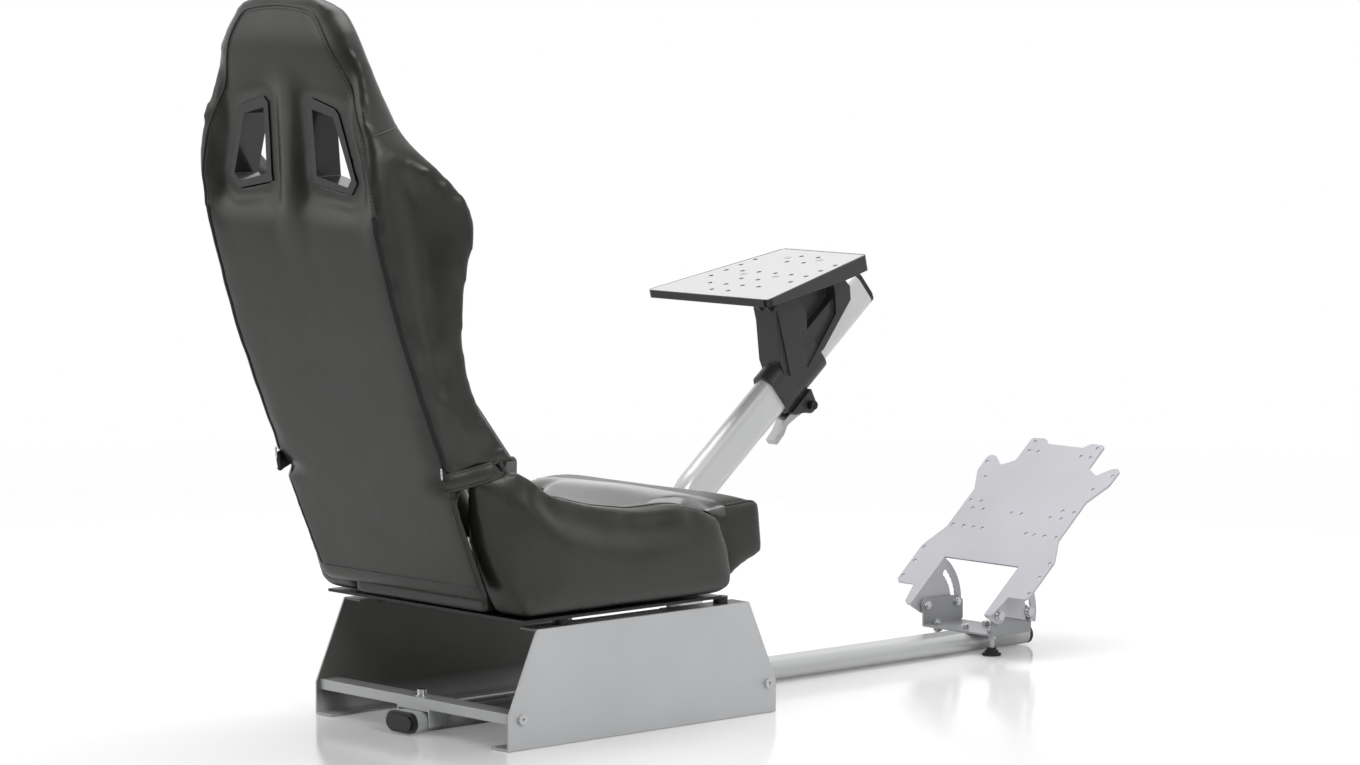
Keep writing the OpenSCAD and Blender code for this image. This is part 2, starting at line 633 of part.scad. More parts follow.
// Deck bracket: split sleeve on the column, two cheeks and a flange under the deck
sleeve_e = sleeve_s + sleeve_len;
lug_s = sleeve_s + 33;
lug_n = -col_w / 2 - 18;
bracket_hy = col_t / 2 + sleeve_play + sleeve_wall;
module deck_bracket() {
    color("#3a3937") difference() {
        union() {
            on_column() translate([sleeve_s, 0, 0]) rotate([90, 0, 90]) linear_extrude(sleeve_len) rotate(90)
                oval(col_w + 2 * (sleeve_play + sleeve_wall), col_t + 2 * (sleeve_play + sleeve_wall));
            on_column() side_slab(-bracket_hy, bracket_hy) polygon([[sleeve_s + 24, 20],
                [sleeve_s + 30, 40], [257, 101], [282, 143], [300, 133], [300, 60], [sleeve_e - 6, 30]]);
            // Central web and the skin over the column, which floor the side pockets
            on_column() side_slab(-5, 5) polygon([[sleeve_s + 30, 0], [257, 101], [282, 143], [390, 86],
                [379.6, 65.7], [382, 50], [384, 31], [373, 15], [290, -3], [sleeve_e - 22, -6]]);
            on_column() side_slab(-bracket_hy + 3, bracket_hy - 3) polygon([[251, -4], [290, -3], [373, 15],
                [379, 24], [373, 37], [260, 37], [251, 10]]);
            // Pocket walls: the rear block and the slim front rib, both full width
            on_column() side_slab(-bracket_hy - 3, bracket_hy + 3) polygon([[sleeve_s + 30, 12], [257, 101],
                [282, 143], [308, 130], [290, 88], [251, 2]]);
            on_column() side_slab(-bracket_hy - 3, bracket_hy + 3) polygon([[251, -2], [290, -3], [373, 15],
                [384, 31], [382, 50], [379.6, 65.7], [390, 86], [376, 93.4], [366, 66], [358, 46], [339, 19]]);
            on_deck() translate([78, -45, -deck_t - 5]) cube([148, 90, 5]);
            on_deck() for (s = [-1, 1]) translate([0, s * 10, 0]) side_slab(-3, 3)
                polygon([[62, -deck_t], [116, -deck_t], [116, -66]]);
            on_deck() translate([62, -14, -deck_t - 4]) cube([20, 28, 4]);
            lugs();
        }
        on_column() translate([sleeve_s - 60, 0, 0]) rotate([90, 0, 90]) linear_extrude(300) rotate(90)
            oval(col_w + 2 * sleeve_play, col_t + 2 * sleeve_play);
        on_column() translate([sleeve_s - 1, -1.5, -60]) cube([sleeve_len + 2, 3, 40]);
        on_column() translate([lug_s, 0, lug_n]) rotate([90, 0, 0]) cylinder(h = 60, d = screw_d + 0.4, center = true);
        on_deck() translate([0, 0, -deck_t]) translate([0, -100, 0]) cube([300, 200, 40]);
        on_deck() for (p = screw_uv, s = [-1, 1]) translate([p[0], s * p[1], -20]) cylinder(h = 20, d = 5.4);
    }
}
module lugs() {
    on_column() for (s = [-1, 1]) translate([0, s * 16, 0]) side_slab(-6, 6) union() {
        translate([lug_s, lug_n]) circle(r = 12);
        polygon([[sleeve_s + 1, -col_w / 2 - 3], [lug_s + 16, -col_w / 2 - 2], [lug_s + 11.5, lug_n - 3],
            [lug_s - 3, lug_n - 11.6], [sleeve_s + 15, lug_n + 1], [sleeve_s + 3, lug_n + 9]]);
    }
}
module clamp_bolt() {
    color("#1c1c1e") on_column() translate([lug_s, 0, lug_n]) rotate([90, 0, 0]) union() {
        translate([0, 0, -30]) cylinder(h = 60, d = screw_d);
        translate([0, 0, 22]) cylinder(h = 9, d = screw_d * 1.6);
        translate([0, 0, -29]) cylinder(h = 7, d = screw_d * 1.6, $fn = 6);
    }
}
module clamp_lever() {
    color("#c4c5c8") on_column() difference() {
        union() {
            translate([lug_s, 0, lug_n]) rotate([90, 0, 0]) cylinder(h = 18, r = 10, center = true);
            side_slab(-9, 9) polygon([[lug_s, lug_n + 9], [lug_s - 18, lug_n + 8], [lug_s - 18, lug_n - 6],
                [lug_s, lug_n - 9]]);
            side_slab(-9, 9) polygon([[lug_s - 14, lug_n + 8], [lug_s - 42, lug_n + 8],
                [lug_s - 57, lug_n + 2], [lug_s - lever_len, lug_n], [lug_s - lever_len, lug_n - 8],
                [lug_s - 57, lug_n - 7], [lug_s - 42, lug_n - 1], [lug_s - 14, lug_n - 6]]);
        }
        translate([lug_s, 0, lug_n]) rotate([90, 0, 0]) cylinder(h = 60, d = screw_d + 0.6, center = true);
    }
}

// Pedal tube: flat oval with a slot over each clamping screw
module pedal_tube() {
    color("#b8babc") difference() {
        translate([-tube_rear, 0, tube_z]) rotate([90, 0, 90]) linear_extrude(tube_rear + tube_front)
            difference() {
                oval(tube_w, tube_h);
                oval(tube_w - 2 * tube_wall, tube_h - 2 * tube_wall);
            }
        at_bars() translate([70, 0, tube_z]) linear_extrude(tube_h) oval(170, screw_d + 2);
        for (x = [10.5, 56.5]) translate([pivot_x + x, 0, tube_z]) cylinder(h = tube_h, d = screw_d + 0.4);
    }
}
module tube_cap() {
    rotate([90, 0, 90]) union() {
        linear_extrude(cap_t - 4) oval(tube_w, tube_h);
        linear_extrude(cap_t) oval(tube_w - 8, tube_h - 8);
        translate([0, 0, -6]) linear_extrude(7) oval(tube_w - 2 * tube_wall - 0.4, tube_h - 2 * tube_wall - 0.4);
    }
}
module tube_caps() {
    color("#1c1c1e") union() {
        translate([tube_front, 0, tube_z]) tube_cap();
        translate([-tube_rear, 0, tube_z]) rotate([0, 0, 180]) tube_cap();
    }
}
// Pedal bracket: U-shaped sheet on the tube, its walls inside the plate's ears
module pedal_bracket() {
    color("#a4a5a7") difference() {
        union() {
            translate([pivot_x - 6.5, -bracket_w / 2, tube_top]) cube([83, bracket_w, sheet_t]);
            for (s = [-1, 1]) translate([0, s * (bracket_w / 2 - sheet_t / 2), 0])
                side_slab(-sheet_t / 2, sheet_t / 2) union() {
                    polygon([[pivot_x - 6.5, tube_top], [pivot_x - 6.5, tube_top + bracket_h],
                        [pivot_x + 66, tube_top + bracket_h], [pivot_x + 76.5, tube_top + bracket_h - 8],
                        [pivot_x + 76.5, tube_top + 6], [pivot_x + 70, tube_top]]);
                    translate([pivot_x, pivot_z]) circle(r = 10);
                }
        }
        for (x = [0, slot_r]) translate([pivot_x + x, 0, pivot_z]) rotate([90, 0, 0])
            cylinder(h = 300, d = screw_d + 0.4, center = true);
        for (x = [10.5, 56.5]) translate([pivot_x + x, 0, tube_top - 1]) cylinder(h = 9, d = screw_d + 0.4);
        for (s = [-1, 1]) translate([pivot_x + 9.5, s * pad_y, tube_top - 1]) cylinder(h = 9, d = screw_d + 0.4);
    }
}
module bracket_bolts() {
    color("#d8d8da") for (x = [10.5, 56.5]) translate([pivot_x + x, 0, tube_top + sheet_t])
        bolt(screw_d, sheet_t + 10, 7);
}
// Levelling foot: pad on the floor, stud through the bracket with a nut above it
module level_foot() {
    translate([pivot_x + 9.5, pad_y, 0]) union() {
        cylinder(h = 3, d = pad_d);
        cylinder(h = 7, d = pad_d * 0.72);
        cylinder(h = 12, d = pad_d * 0.5);
        cylinder(h = tube_top + sheet_t + 9, d = screw_d);
        translate([0, 0, tube_top - 6]) cylinder(h = 6, d = screw_d * 1.7, $fn = 6);
        translate([0, 0, tube_top + sheet_t]) cylinder(h = 5, d = screw_d * 1.7, $fn = 6);
    }
}
module foot_left() {
    color("#2a2a2c") level_foot();
}
module foot_right() {
    color("#2a2a2c") mirror([0, 1, 0]) level_foot();
}

// Pedal plate: upper face plate_rise above the pivot, u measured up the plate from its wing foot
u0 = 19.5;
// Top edge of the cut-out between the ears
pp_cut = 78.5;
pp_half = [[-38, 76], [-38, 84], [-34, 90], [0, 97], [0, 130], [6, 136], [74, 136], [80, 134],
    [117, 114.5], [195, 114.5], [232, 135], [260, 136], [266, 130], [264, 119], [248, 98],
    [259, 77], [262, 75], [304, 75], [308, 71], [309, 49], [306, 43], [299, 36]];
ku = pplate_len / 309;
kv = pplate_w / 272;
function ppu(u) = u < 70 ? u : 70 + (u - 70) * (pplate_len - 70) / 239;
module pp_outline() {
    polygon(concat([for (p = pp_half) [u0 + ppu(p[0]), p[1] <= 99 && p[0] < 50 ? p[1] : p[1] * kv]],
        [for (i = [len(pp_half) - 1:-1:0]) [u0 + ppu(pp_half[i][0]),
            -(pp_half[i][1] <= 99 && pp_half[i][0] < 50 ? pp_half[i][1] : pp_half[i][1] * kv)]]));
}
pp_holes = [[301, 64], [282, 63], [282, 44], [251, 129], [221, 111], [173, 106], [173, 84], [158, 91], [158, 69],
    [158, 10], [122, 106], [122, 83], [122, 63], [122, 45], [72, 129], [44, 128], [13, 130]];
module pedal_plate() {
    color("#c6c5cb") on_pedals() difference() {
        union() {
            translate([0, 0, plate_rise - sheet_t]) linear_extrude(sheet_t) pp_outline();
            for (s = [-1, 1]) translate([0, s * (ear_y - sheet_t / 2), 0])
                side_slab(-sheet_t / 2, sheet_t / 2) intersection() {
                    union() {
                        intersection() {
                            circle(r = ear_r, $fn = 96);
                            polygon([[0, 0], [150, 200], [150, -200], [150 * cos(53.5), -150 * sin(53.5)]]);
                        }
                        circle(r = 13);
                        polygon([[u0 - 38, plate_rise], [u0 - 38, plate_rise - 6], [-11, -7], [13, -11],
                            [150 * 0.5 * cos(53.5), -150 * 0.5 * sin(53.5)], [ear_r, plate_rise]]);
                    }
                    translate([-100, -100]) square([200, 100 + plate_rise - 0.5]);
                }
        }
        translate([-60, -ear_y + sheet_t, -30]) cube([60 + pp_cut, 2 * (ear_y - sheet_t), 90]);
        for (p = pp_holes, s = [-1, 1]) translate([u0 + ppu(p[0]), s * p[1] * kv, plate_rise - 10])
            cylinder(h = 20, d = pplate_hole_d);
        rotate([90, 0, 0]) cylinder(h = 300, d = screw_d + 0.8, center = true);
        rotate([90, 0, 0]) linear_extrude(300, center = true) slot_2d();
    }
}
// Scalloped locking slot: from 14 below to 42 degrees above level with the pivot
module slot_2d() {
    a0 = -plate_tilt - 14;
    a1 = -plate_tilt + 42;
    w = screw_d / 2 + 0.8;
    union() {
        intersection() {
            difference() {
                circle(r = slot_r + w, $fn = 96);
                circle(r = slot_r - w, $fn = 96);
            }
            polygon([[0, 0], [150 * cos(a0), 150 * sin(a0)], [160 * cos((a0 + a1) / 2), 160 * sin((a0 + a1) / 2)],
                [150 * cos(a1), 150 * sin(a1)]]);
        }
        for (i = [0:notches]) rotate(a0 + i * (a1 - a0) / notches) translate([slot_r, 0])
            circle(r = w + 0.9);
    }
}
notches = 8;
module side_bolt() {
    rotate([-90, 0, 0]) union() {
        translate([0, 0, bracket_w / 2 - sheet_t - 4]) cylinder(h = 4, d = screw_d * 1.7, $fn = 6);
        translate([0, 0, bracket_w / 2 - sheet_t - 6]) cylinder(h = ear_y - bracket_w / 2 + sheet_t + 8, d = screw_d);
        translate([0, 0, bracket_w / 2]) cylinder(h = ear_y - sheet_t - bracket_w / 2 - 0.5, d = screw_d * 1.8);
        translate([0, 0, ear_y + 0.5]) cylinder(h = 1.6, d = screw_d * 2);
        translate([0, 0, ear_y + 2]) cylinder(h = 5, d = screw_d * 1.6);
    }
}
module pivot_bolts() {
    color("#d8d8da") for (s = [0, 1]) mirror([0, s, 0]) translate([pivot_x, 0, pivot_z]) side_bolt();
}
module lock_bolts() {
    color("#d8d8da") for (s = [0, 1]) mirror([0, s, 0]) translate([pivot_x + slot_r, 0, pivot_z]) side_bolt();
}

side_plate_right();
side_plate_left();
rear_crossbar();
front_crossbar();
crossbar_bolts();
tube_guides();
clamp_screws();
column_foot();
column_tube();
column_bolts();
column_cap();
seat_spacers();
seat_pan();
seat_cushion();
seat_bolster_right();
seat_bolster_left();
seat_hinge_plates();
back_hinge_arms();
back_shell();
back_pad();
head_pad();
back_bolster_right();
back_bolster_left();
harness_bezel_right();
harness_bezel_left();
back_zip();
deck_bracket();
wheel_deck();
deck_screws();
clamp_bolt();
clamp_lever();
pedal_tube();
tube_caps();
pedal_bracket();
bracket_bolts();
foot_right();
foot_left();
pedal_plate();
pivot_bolts();
lock_bolts();
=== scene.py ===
"""Sim racing cockpit: silver folded frame, leatherette bucket seat, wheel deck and pedal plate."""
import math

import bmesh
import bpy
import numpy as np
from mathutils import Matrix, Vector
from mathutils.bvhtree import BVHTree


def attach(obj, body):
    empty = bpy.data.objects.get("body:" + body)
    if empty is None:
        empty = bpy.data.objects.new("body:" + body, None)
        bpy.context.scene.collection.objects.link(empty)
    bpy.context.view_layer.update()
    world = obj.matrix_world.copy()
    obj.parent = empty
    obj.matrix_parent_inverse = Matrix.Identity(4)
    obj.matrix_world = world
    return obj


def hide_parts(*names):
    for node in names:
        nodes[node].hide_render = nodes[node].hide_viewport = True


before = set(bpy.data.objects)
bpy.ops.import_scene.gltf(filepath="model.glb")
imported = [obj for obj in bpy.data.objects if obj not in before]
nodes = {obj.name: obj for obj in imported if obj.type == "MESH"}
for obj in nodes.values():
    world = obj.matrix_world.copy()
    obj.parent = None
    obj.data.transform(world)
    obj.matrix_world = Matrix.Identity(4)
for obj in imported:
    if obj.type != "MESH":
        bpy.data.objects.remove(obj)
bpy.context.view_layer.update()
scene = bpy.context.scene
scene.view_settings.view_transform = "Standard"

# Camera: stands behind the seat on the driver's right, a little above the head, with a long lens.
CAMERA_AT = Vector((-4.1568, -4.8560, 1.0783))
CAMERA_AZIMUTH = math.radians(47.726)
CAMERA_PITCH = math.radians(-5.536)
camera = bpy.data.objects.new("camera", bpy.data.cameras.new("camera"))
scene.collection.objects.link(camera)
camera.data.lens = 125.3
camera.data.sensor_width = 36.0
camera.data.shift_x = -0.0043
camera.data.shift_y = -0.0034
camera.data.clip_end = 60.0
camera.location = CAMERA_AT
camera.rotation_mode = "QUATERNION"
camera.rotation_quaternion = Vector((
    math.cos(CAMERA_PITCH) * math.cos(CAMERA_AZIMUTH),
    math.cos(CAMERA_PITCH) * math.sin(CAMERA_AZIMUTH),
    math.sin(CAMERA_PITCH),
)).to_track_quat("-Z", "Y")
scene.camera = camera


def add_node(tree, kind, feeds=None, **settings):
    """Adds a node; each feed is a value for a socket or another node's output to link to it."""
    node = tree.nodes.new(kind)
    for name, value in settings.items():
        setattr(node, name, value)
    for socket, value in (feeds or {}).items():
        if isinstance(value, bpy.types.NodeSocket):
            tree.links.new(value, node.inputs[socket])
        else:
            node.inputs[socket].default_value = value
    return node


def ranged(tree, value, low, high, to_low=0.0, to_high=1.0, **settings):
    """A node that carries a value from one range to another, and stops at its ends."""
    return add_node(tree, "ShaderNodeMapRange", {"Value": value, "From Min": low, "From Max": high,
                                                 "To Min": to_low, "To Max": to_high}, **settings)


def maths(tree, operation, *values):
    """A node that does sums with one or two values."""
    return add_node(tree, "ShaderNodeMath", dict(enumerate(values)), operation=operation)


# Studio: white backdrop all round, a pale glossy floor and large soft boxes above and beside.
# The backdrop is dim behind the camera, as in a real studio, and the camera itself sees it white.
world = bpy.data.worlds.new("studio")
scene.world = world
world.use_nodes = True
world.node_tree.nodes.clear()
sky = world.node_tree
rays = add_node(sky, "ShaderNodeLightPath")
where = add_node(sky, "ShaderNodeTexCoord")
toward = add_node(sky, "ShaderNodeVectorMath", {0: where.outputs["Generated"], 1: (0.58, 0.62, 0.45)},
                  operation="DOT_PRODUCT")
room = ranged(sky, toward.outputs["Value"], -0.9, 0.55, 0.15, 1.0, interpolation_type="SMOOTHSTEP")
fill = maths(sky, "MULTIPLY", room.outputs[0], 0.44)
shiny = add_node(sky, "ShaderNodeMix", {"Factor": rays.outputs["Is Glossy Ray"], 2: fill.outputs[0],
                                        3: room.outputs[0]})
seen = add_node(sky, "ShaderNodeMix", {"Factor": rays.outputs["Is Camera Ray"], 2: shiny.outputs[0],
                                       3: 1.0})
sky_light = add_node(sky, "ShaderNodeBackground", {"Color": (1, 1, 1, 1),
                                                   "Strength": seen.outputs[0]})
sky_out = add_node(sky, "ShaderNodeOutputWorld", {"Surface": sky_light.outputs[0]})

for name, at, aim, size, watts in (
    ("soft_box_above", (0.5, 0.3, 3.2), (0.1, 0.0, 0.4), 2.6, 60.0),
    ("soft_box_right", (-0.6, -3.6, 1.9), (0.1, 0.0, 0.5), 1.5, 52.0),
    ("soft_box_left", (-2.9, 2.1, 1.5), (-0.1, 0.1, 0.5), 1.8, 16.0),
):
    lamp = bpy.data.lights.new(name, "AREA")
    lamp.shape = "SQUARE"
    lamp.size = size
    lamp.energy = watts
    holder = bpy.data.objects.new(name, lamp)
    holder.location = at
    holder.rotation_mode = "QUATERNION"
    holder.rotation_quaternion = (Vector(aim) - Vector(at)).to_track_quat("-Z", "Y")
    scene.collection.objects.link(holder)

# Floor: one smooth disc of polished white board, faded out far from the cockpit.
FLOOR_RADIUS = 7.0
turn = np.linspace(0, 2 * np.pi, 97)[:-1]
rings = np.linspace(0.02, FLOOR_RADIUS, 12)
disc = np.stack([np.outer(rings, np.cos(turn)), np.outer(rings, np.sin(turn)),
                 np.full((12, 96), -0.0006)], axis=-1).reshape(-1, 3)


def grid_faces(rows, cols, closed=True):
    """Quads of a grid of rows by cols points, whose columns join up when closed."""
    i, j = np.meshgrid(np.arange(rows - 1), np.arange(cols if closed else cols - 1), indexing="ij")
    k = (j + 1) % cols
    return np.stack([i * cols + j, i * cols + k, (i + 1) * cols + k, (i + 1) * cols + j],
                    axis=-1).reshape(-1, 4)


def new_piece(name, points, faces):
    """Makes a smooth object of points and faces, with its place in its mesh and its faces outward."""
    mesh = bpy.data.meshes.new(name)
    mesh.from_pydata(np.asarray(points, float).tolist(), [], [list(map(int, f)) for f in faces])
    bm = bmesh.new()
    bm.from_mesh(mesh)
    bmesh.ops.recalc_face_normals(bm, faces=bm.faces)
    bm.to_mesh(mesh)
    bm.free()
    mesh.polygons.foreach_set("use_smooth", [True] * len(mesh.polygons))
    mesh.update()
    piece = bpy.data.objects.new(name, mesh)
    scene.collection.objects.link(piece)
    return piece


floor = new_piece("floor", disc, list(grid_faces(12, 96)) + [list(range(96))])


def new_material(name):
    """A material with one Principled shader; returns the material, its tree and the shader."""
    material = bpy.data.materials.new(name)
    material.use_nodes = True
    tree = material.node_tree
    tree.nodes.clear()
    shader = tree.nodes.new("ShaderNodeBsdfPrincipled")
    out = tree.nodes.new("ShaderNodeOutputMaterial")
    tree.links.new(shader.outputs[0], out.inputs[0])
    return material, tree, shader


board, tree, shader = new_material("white_board")
shader.inputs["Base Color"].default_value = (0.93, 0.93, 0.935, 1)
shader.inputs["Roughness"].default_value = 0.13
shader.inputs["IOR"].default_value = 1.4
where = add_node(tree, "ShaderNodeTexCoord")
out_from = add_node(tree, "ShaderNodeVectorMath", {0: where.outputs["Object"]}, operation="LENGTH")
fade = ranged(tree, out_from.outputs["Value"], 1.2, 3.6, interpolation_type="SMOOTHSTEP")
lit = add_node(tree, "ShaderNodeLightPath")
lift = maths(tree, "MULTIPLY", lit.outputs["Is Camera Ray"], 0.16)
shader.inputs["Emission Color"].default_value = (1, 1, 1, 1)
tree.links.new(lift.outputs[0], shader.inputs["Emission Strength"])
clear = add_node(tree, "ShaderNodeBsdfTransparent")
blend = add_node(tree, "ShaderNodeMixShader", {0: fade.outputs[0], 1: shader.outputs[0],
                                               2: clear.outputs[0]})
tree.links.new(blend.outputs[0], tree.nodes["Material Output"].inputs[0])
floor.data.materials.append(board)


# Shared effects: worn edges, orange peel and grain, each a group used by several finishes.
def new_group(name, inputs, outputs):
    """An empty shader group with named sockets; returns it with its input and output nodes."""
    group = bpy.data.node_groups.new(name, "ShaderNodeTree")
    for label, kind, value in inputs:
        socket = group.interface.new_socket(label, in_out="INPUT", socket_type=kind)
        if value is not None:
            socket.default_value = value
    for label, kind in outputs:
        group.interface.new_socket(label, in_out="OUTPUT", socket_type=kind)
    return group, group.nodes.new("NodeGroupInput"), group.nodes.new("NodeGroupOutput")


FLOAT, VECTOR = "NodeSocketFloat", "NodeSocketVector"

# Soft edge: rounds the fold by Radius and marks where it turns, broken up by noise.
soft_edge, gin, gout = new_group("soft_edge", [("Where", VECTOR, None), ("Radius", FLOAT, 0.001)],
                                 [("Worn", FLOAT), ("Normal", VECTOR)])
bevel = add_node(soft_edge, "ShaderNodeBevel", {"Radius": gin.outputs["Radius"]}, samples=4)
flat = add_node(soft_edge, "ShaderNodeNewGeometry")
turned = add_node(soft_edge, "ShaderNodeVectorMath", {0: bevel.outputs[0], 1: flat.outputs["Normal"]},
                  operation="DOT_PRODUCT")
edge = ranged(soft_edge, turned.outputs["Value"], 0.99, 0.86)
scuff = add_node(soft_edge, "ShaderNodeTexNoise", {"Vector": gin.outputs["Where"], "Scale": 60.0,
                                                   "Detail": 5.0, "Roughness": 0.7})
patch = ranged(soft_edge, scuff.outputs[0], 0.45, 0.62)
worn = maths(soft_edge, "MULTIPLY", edge.outputs[0], patch.outputs[0])
soft_edge.links.new(worn.outputs[0], gout.inputs["Worn"])
soft_edge.links.new(bevel.outputs[0], gout.inputs["Normal"])

# Skin: fine bumps of Scale over slow waves, as orange peel on paint or pores in leatherette.
skin, gin, gout = new_group("skin", [("Where", VECTOR, None), ("Scale", FLOAT, 500.0),
                                     ("Waves", FLOAT, 20.0), ("Wave share", FLOAT, 0.3)],
                            [("Height", FLOAT), ("Shade", FLOAT)])
pores = add_node(skin, "ShaderNodeTexVoronoi", {"Vector": gin.outputs["Where"],
                                                "Scale": gin.outputs["Scale"], "Smoothness": 0.6},
                 feature="SMOOTH_F1")
waves = add_node(skin, "ShaderNodeTexNoise", {"Vector": gin.outputs["Where"],
                                              "Scale": gin.outputs["Waves"], "Detail": 3.0})
height = add_node(skin, "ShaderNodeMix", {"Factor": gin.outputs["Wave share"], 2: pores.outputs[0],
                                          3: waves.outputs[0]})
skin.links.new(height.outputs[0], gout.inputs["Height"])
skin.links.new(waves.outputs[0], gout.inputs["Shade"])


def use_group(tree, group, feeds):
    """Places a shared effect in a material."""
    return add_node(tree, "ShaderNodeGroup", feeds, node_tree=group)


def hard_finish(name, colour, roughness, metallic=0.0, peel=700.0, peel_depth=0.00004, edge=0.0012,
                worn_colour=None, mottle=0.06, coat=0.0, rough_spread=0.03):
    """Paint, plating or moulding: mottled colour, orange-peel relief, rounded worn edges."""
    material, tree, shader = new_material(name)
    where = add_node(tree, "ShaderNodeTexCoord").outputs["Object"]
    edges = use_group(tree, soft_edge, {"Where": where, "Radius": edge})
    relief = use_group(tree, skin, {"Where": where, "Scale": peel, "Waves": 9.0, "Wave share": 0.0})
    shade = ranged(tree, relief.outputs["Shade"], 0.3, 0.7, 1 - mottle, 1 + mottle)
    tint = add_node(tree, "ShaderNodeVectorMath", {0: colour, "Scale": shade.outputs[0]},
                    operation="SCALE")
    rub = worn_colour or tuple(min(1.0, c * 1.25) for c in colour)
    mixed = add_node(tree, "ShaderNodeMix", {"Factor": edges.outputs["Worn"], 6: tint.outputs[0],
                                             7: (*rub, 1)}, data_type="RGBA")
    rough = ranged(tree, relief.outputs["Shade"], 0.3, 0.7, roughness - rough_spread,
                   roughness + rough_spread)
    bump = add_node(tree, "ShaderNodeBump", {"Height": relief.outputs["Height"], "Strength": 1.0,
                                             "Distance": peel_depth,
                                             "Normal": edges.outputs["Normal"]})
    tree.links.new(mixed.outputs[2], shader.inputs["Base Color"])
    tree.links.new(rough.outputs[0], shader.inputs["Roughness"])
    tree.links.new(bump.outputs[0], shader.inputs["Normal"])
    shader.inputs["Metallic"].default_value = metallic
    shader.inputs["Coat Weight"].default_value = coat
    return material


def dress(material, *names):
    """Gives CAD nodes, whose shape is right, their finish."""
    for name in names:
        mesh = nodes[name].data
        if not mesh.materials:
            mesh.materials.append(material)
        for k in range(len(mesh.materials)):
            mesh.materials[k] = material


# Base frame: two folded sheet-steel side plates joined by two crossbars, powder coated satin
# silver. The crossbars are bolted through the plates, and screws in them clamp the pedal tube.
frame_paint = hard_finish("frame_paint", (0.585, 0.592, 0.60), 0.40, metallic=0.2, edge=0.0018,
                          peel=900.0, mottle=0.03)
crossbar_paint = hard_finish("crossbar_paint", (0.60, 0.61, 0.615), 0.36, metallic=0.25, edge=0.0012,
                             mottle=0.03)
bright_steel = hard_finish("bright_steel", (0.62, 0.625, 0.63), 0.24, metallic=1.0, edge=0.0006,
                           peel=1500.0, peel_depth=0.00002, mottle=0.05)
black_steel = hard_finish("black_steel", (0.020, 0.020, 0.021), 0.34, metallic=0.4, edge=0.0006,
                          worn_colour=(0.10, 0.10, 0.10))
black_plastic = hard_finish("black_plastic", (0.017, 0.017, 0.018), 0.36, peel=1100.0, edge=0.0010,
                            peel_depth=0.00006, worn_colour=(0.05, 0.05, 0.05), mottle=0.10)
dress(frame_paint, "side_plate_right", "side_plate_left")
# Between the plates, under the seat, the inner faces are painted darker: painted shade from the seat above.
# The painted shade ends half a millimetre into each plate, at this distance from the cockpit's middle plane.
INNER_SHADE_Y = 0.201
tree = frame_paint.node_tree
shader = tree.nodes["Principled BSDF"]
where = add_node(tree, "ShaderNodeTexCoord").outputs["Object"]
spot = add_node(tree, "ShaderNodeSeparateXYZ", {0: where})
width = maths(tree, "ABSOLUTE", spot.outputs[1])
inner_shade = ranged(tree, width.outputs[0], INNER_SHADE_Y + 0.0004, INNER_SHADE_Y - 0.0004)
over = ranged(tree, spot.outputs[2], 0.008, 0.03)
# Mask of the painted shade: the inner faces, above the plates' foot.
dull = maths(tree, "MULTIPLY", inner_shade.outputs[0], over.outputs[0])
unshaded_paint = shader.inputs["Base Color"].links[0].from_socket
# The dark colour mixed in here is painted shade from the seat above.
thin = add_node(tree, "ShaderNodeMix", {"Factor": dull.outputs[0], 6: unshaded_paint, 7: (0.20, 0.20, 0.185, 1)},
                data_type="RGBA")
tree.links.new(thin.outputs[2], shader.inputs["Base Color"])
dress(crossbar_paint, "rear_crossbar", "front_crossbar", "tube_guides")
dress(bright_steel, "crossbar_bolts", "clamp_screws", "column_bolts")

# Pedal tube: flat-oval steel tube along the floor, slotted for the screws and capped in plastic.
tube_paint = hard_finish("tube_paint", (0.56, 0.566, 0.57), 0.30, metallic=0.3, edge=0.0008,
                         mottle=0.01, coat=0.2, rough_spread=0.005)
dress(tube_paint, "pedal_tube")
dress(black_plastic, "tube_caps")

# Wheel column: flat-oval tube, upright in a foot of folded steel and then bent forward.
column_paint = hard_finish("column_paint", (0.74, 0.75, 0.745), 0.28, metallic=0.25, edge=0.0008,
                           mottle=0.01, coat=0.3, rough_spread=0.005)
dress(column_paint, "column_tube")
dress(frame_paint, "column_foot")
dress(black_plastic, "column_cap")

# Seat spacers and pan: turned steel feet under a pressed sheet that carries the foam.
dress(black_steel, "seat_spacers", "seat_pan")
hinge_steel = hard_finish("hinge_steel", (0.15, 0.152, 0.155), 0.40, metallic=0.8, edge=0.0008)
dress(hinge_steel, "seat_hinge_plates", "back_hinge_arms")


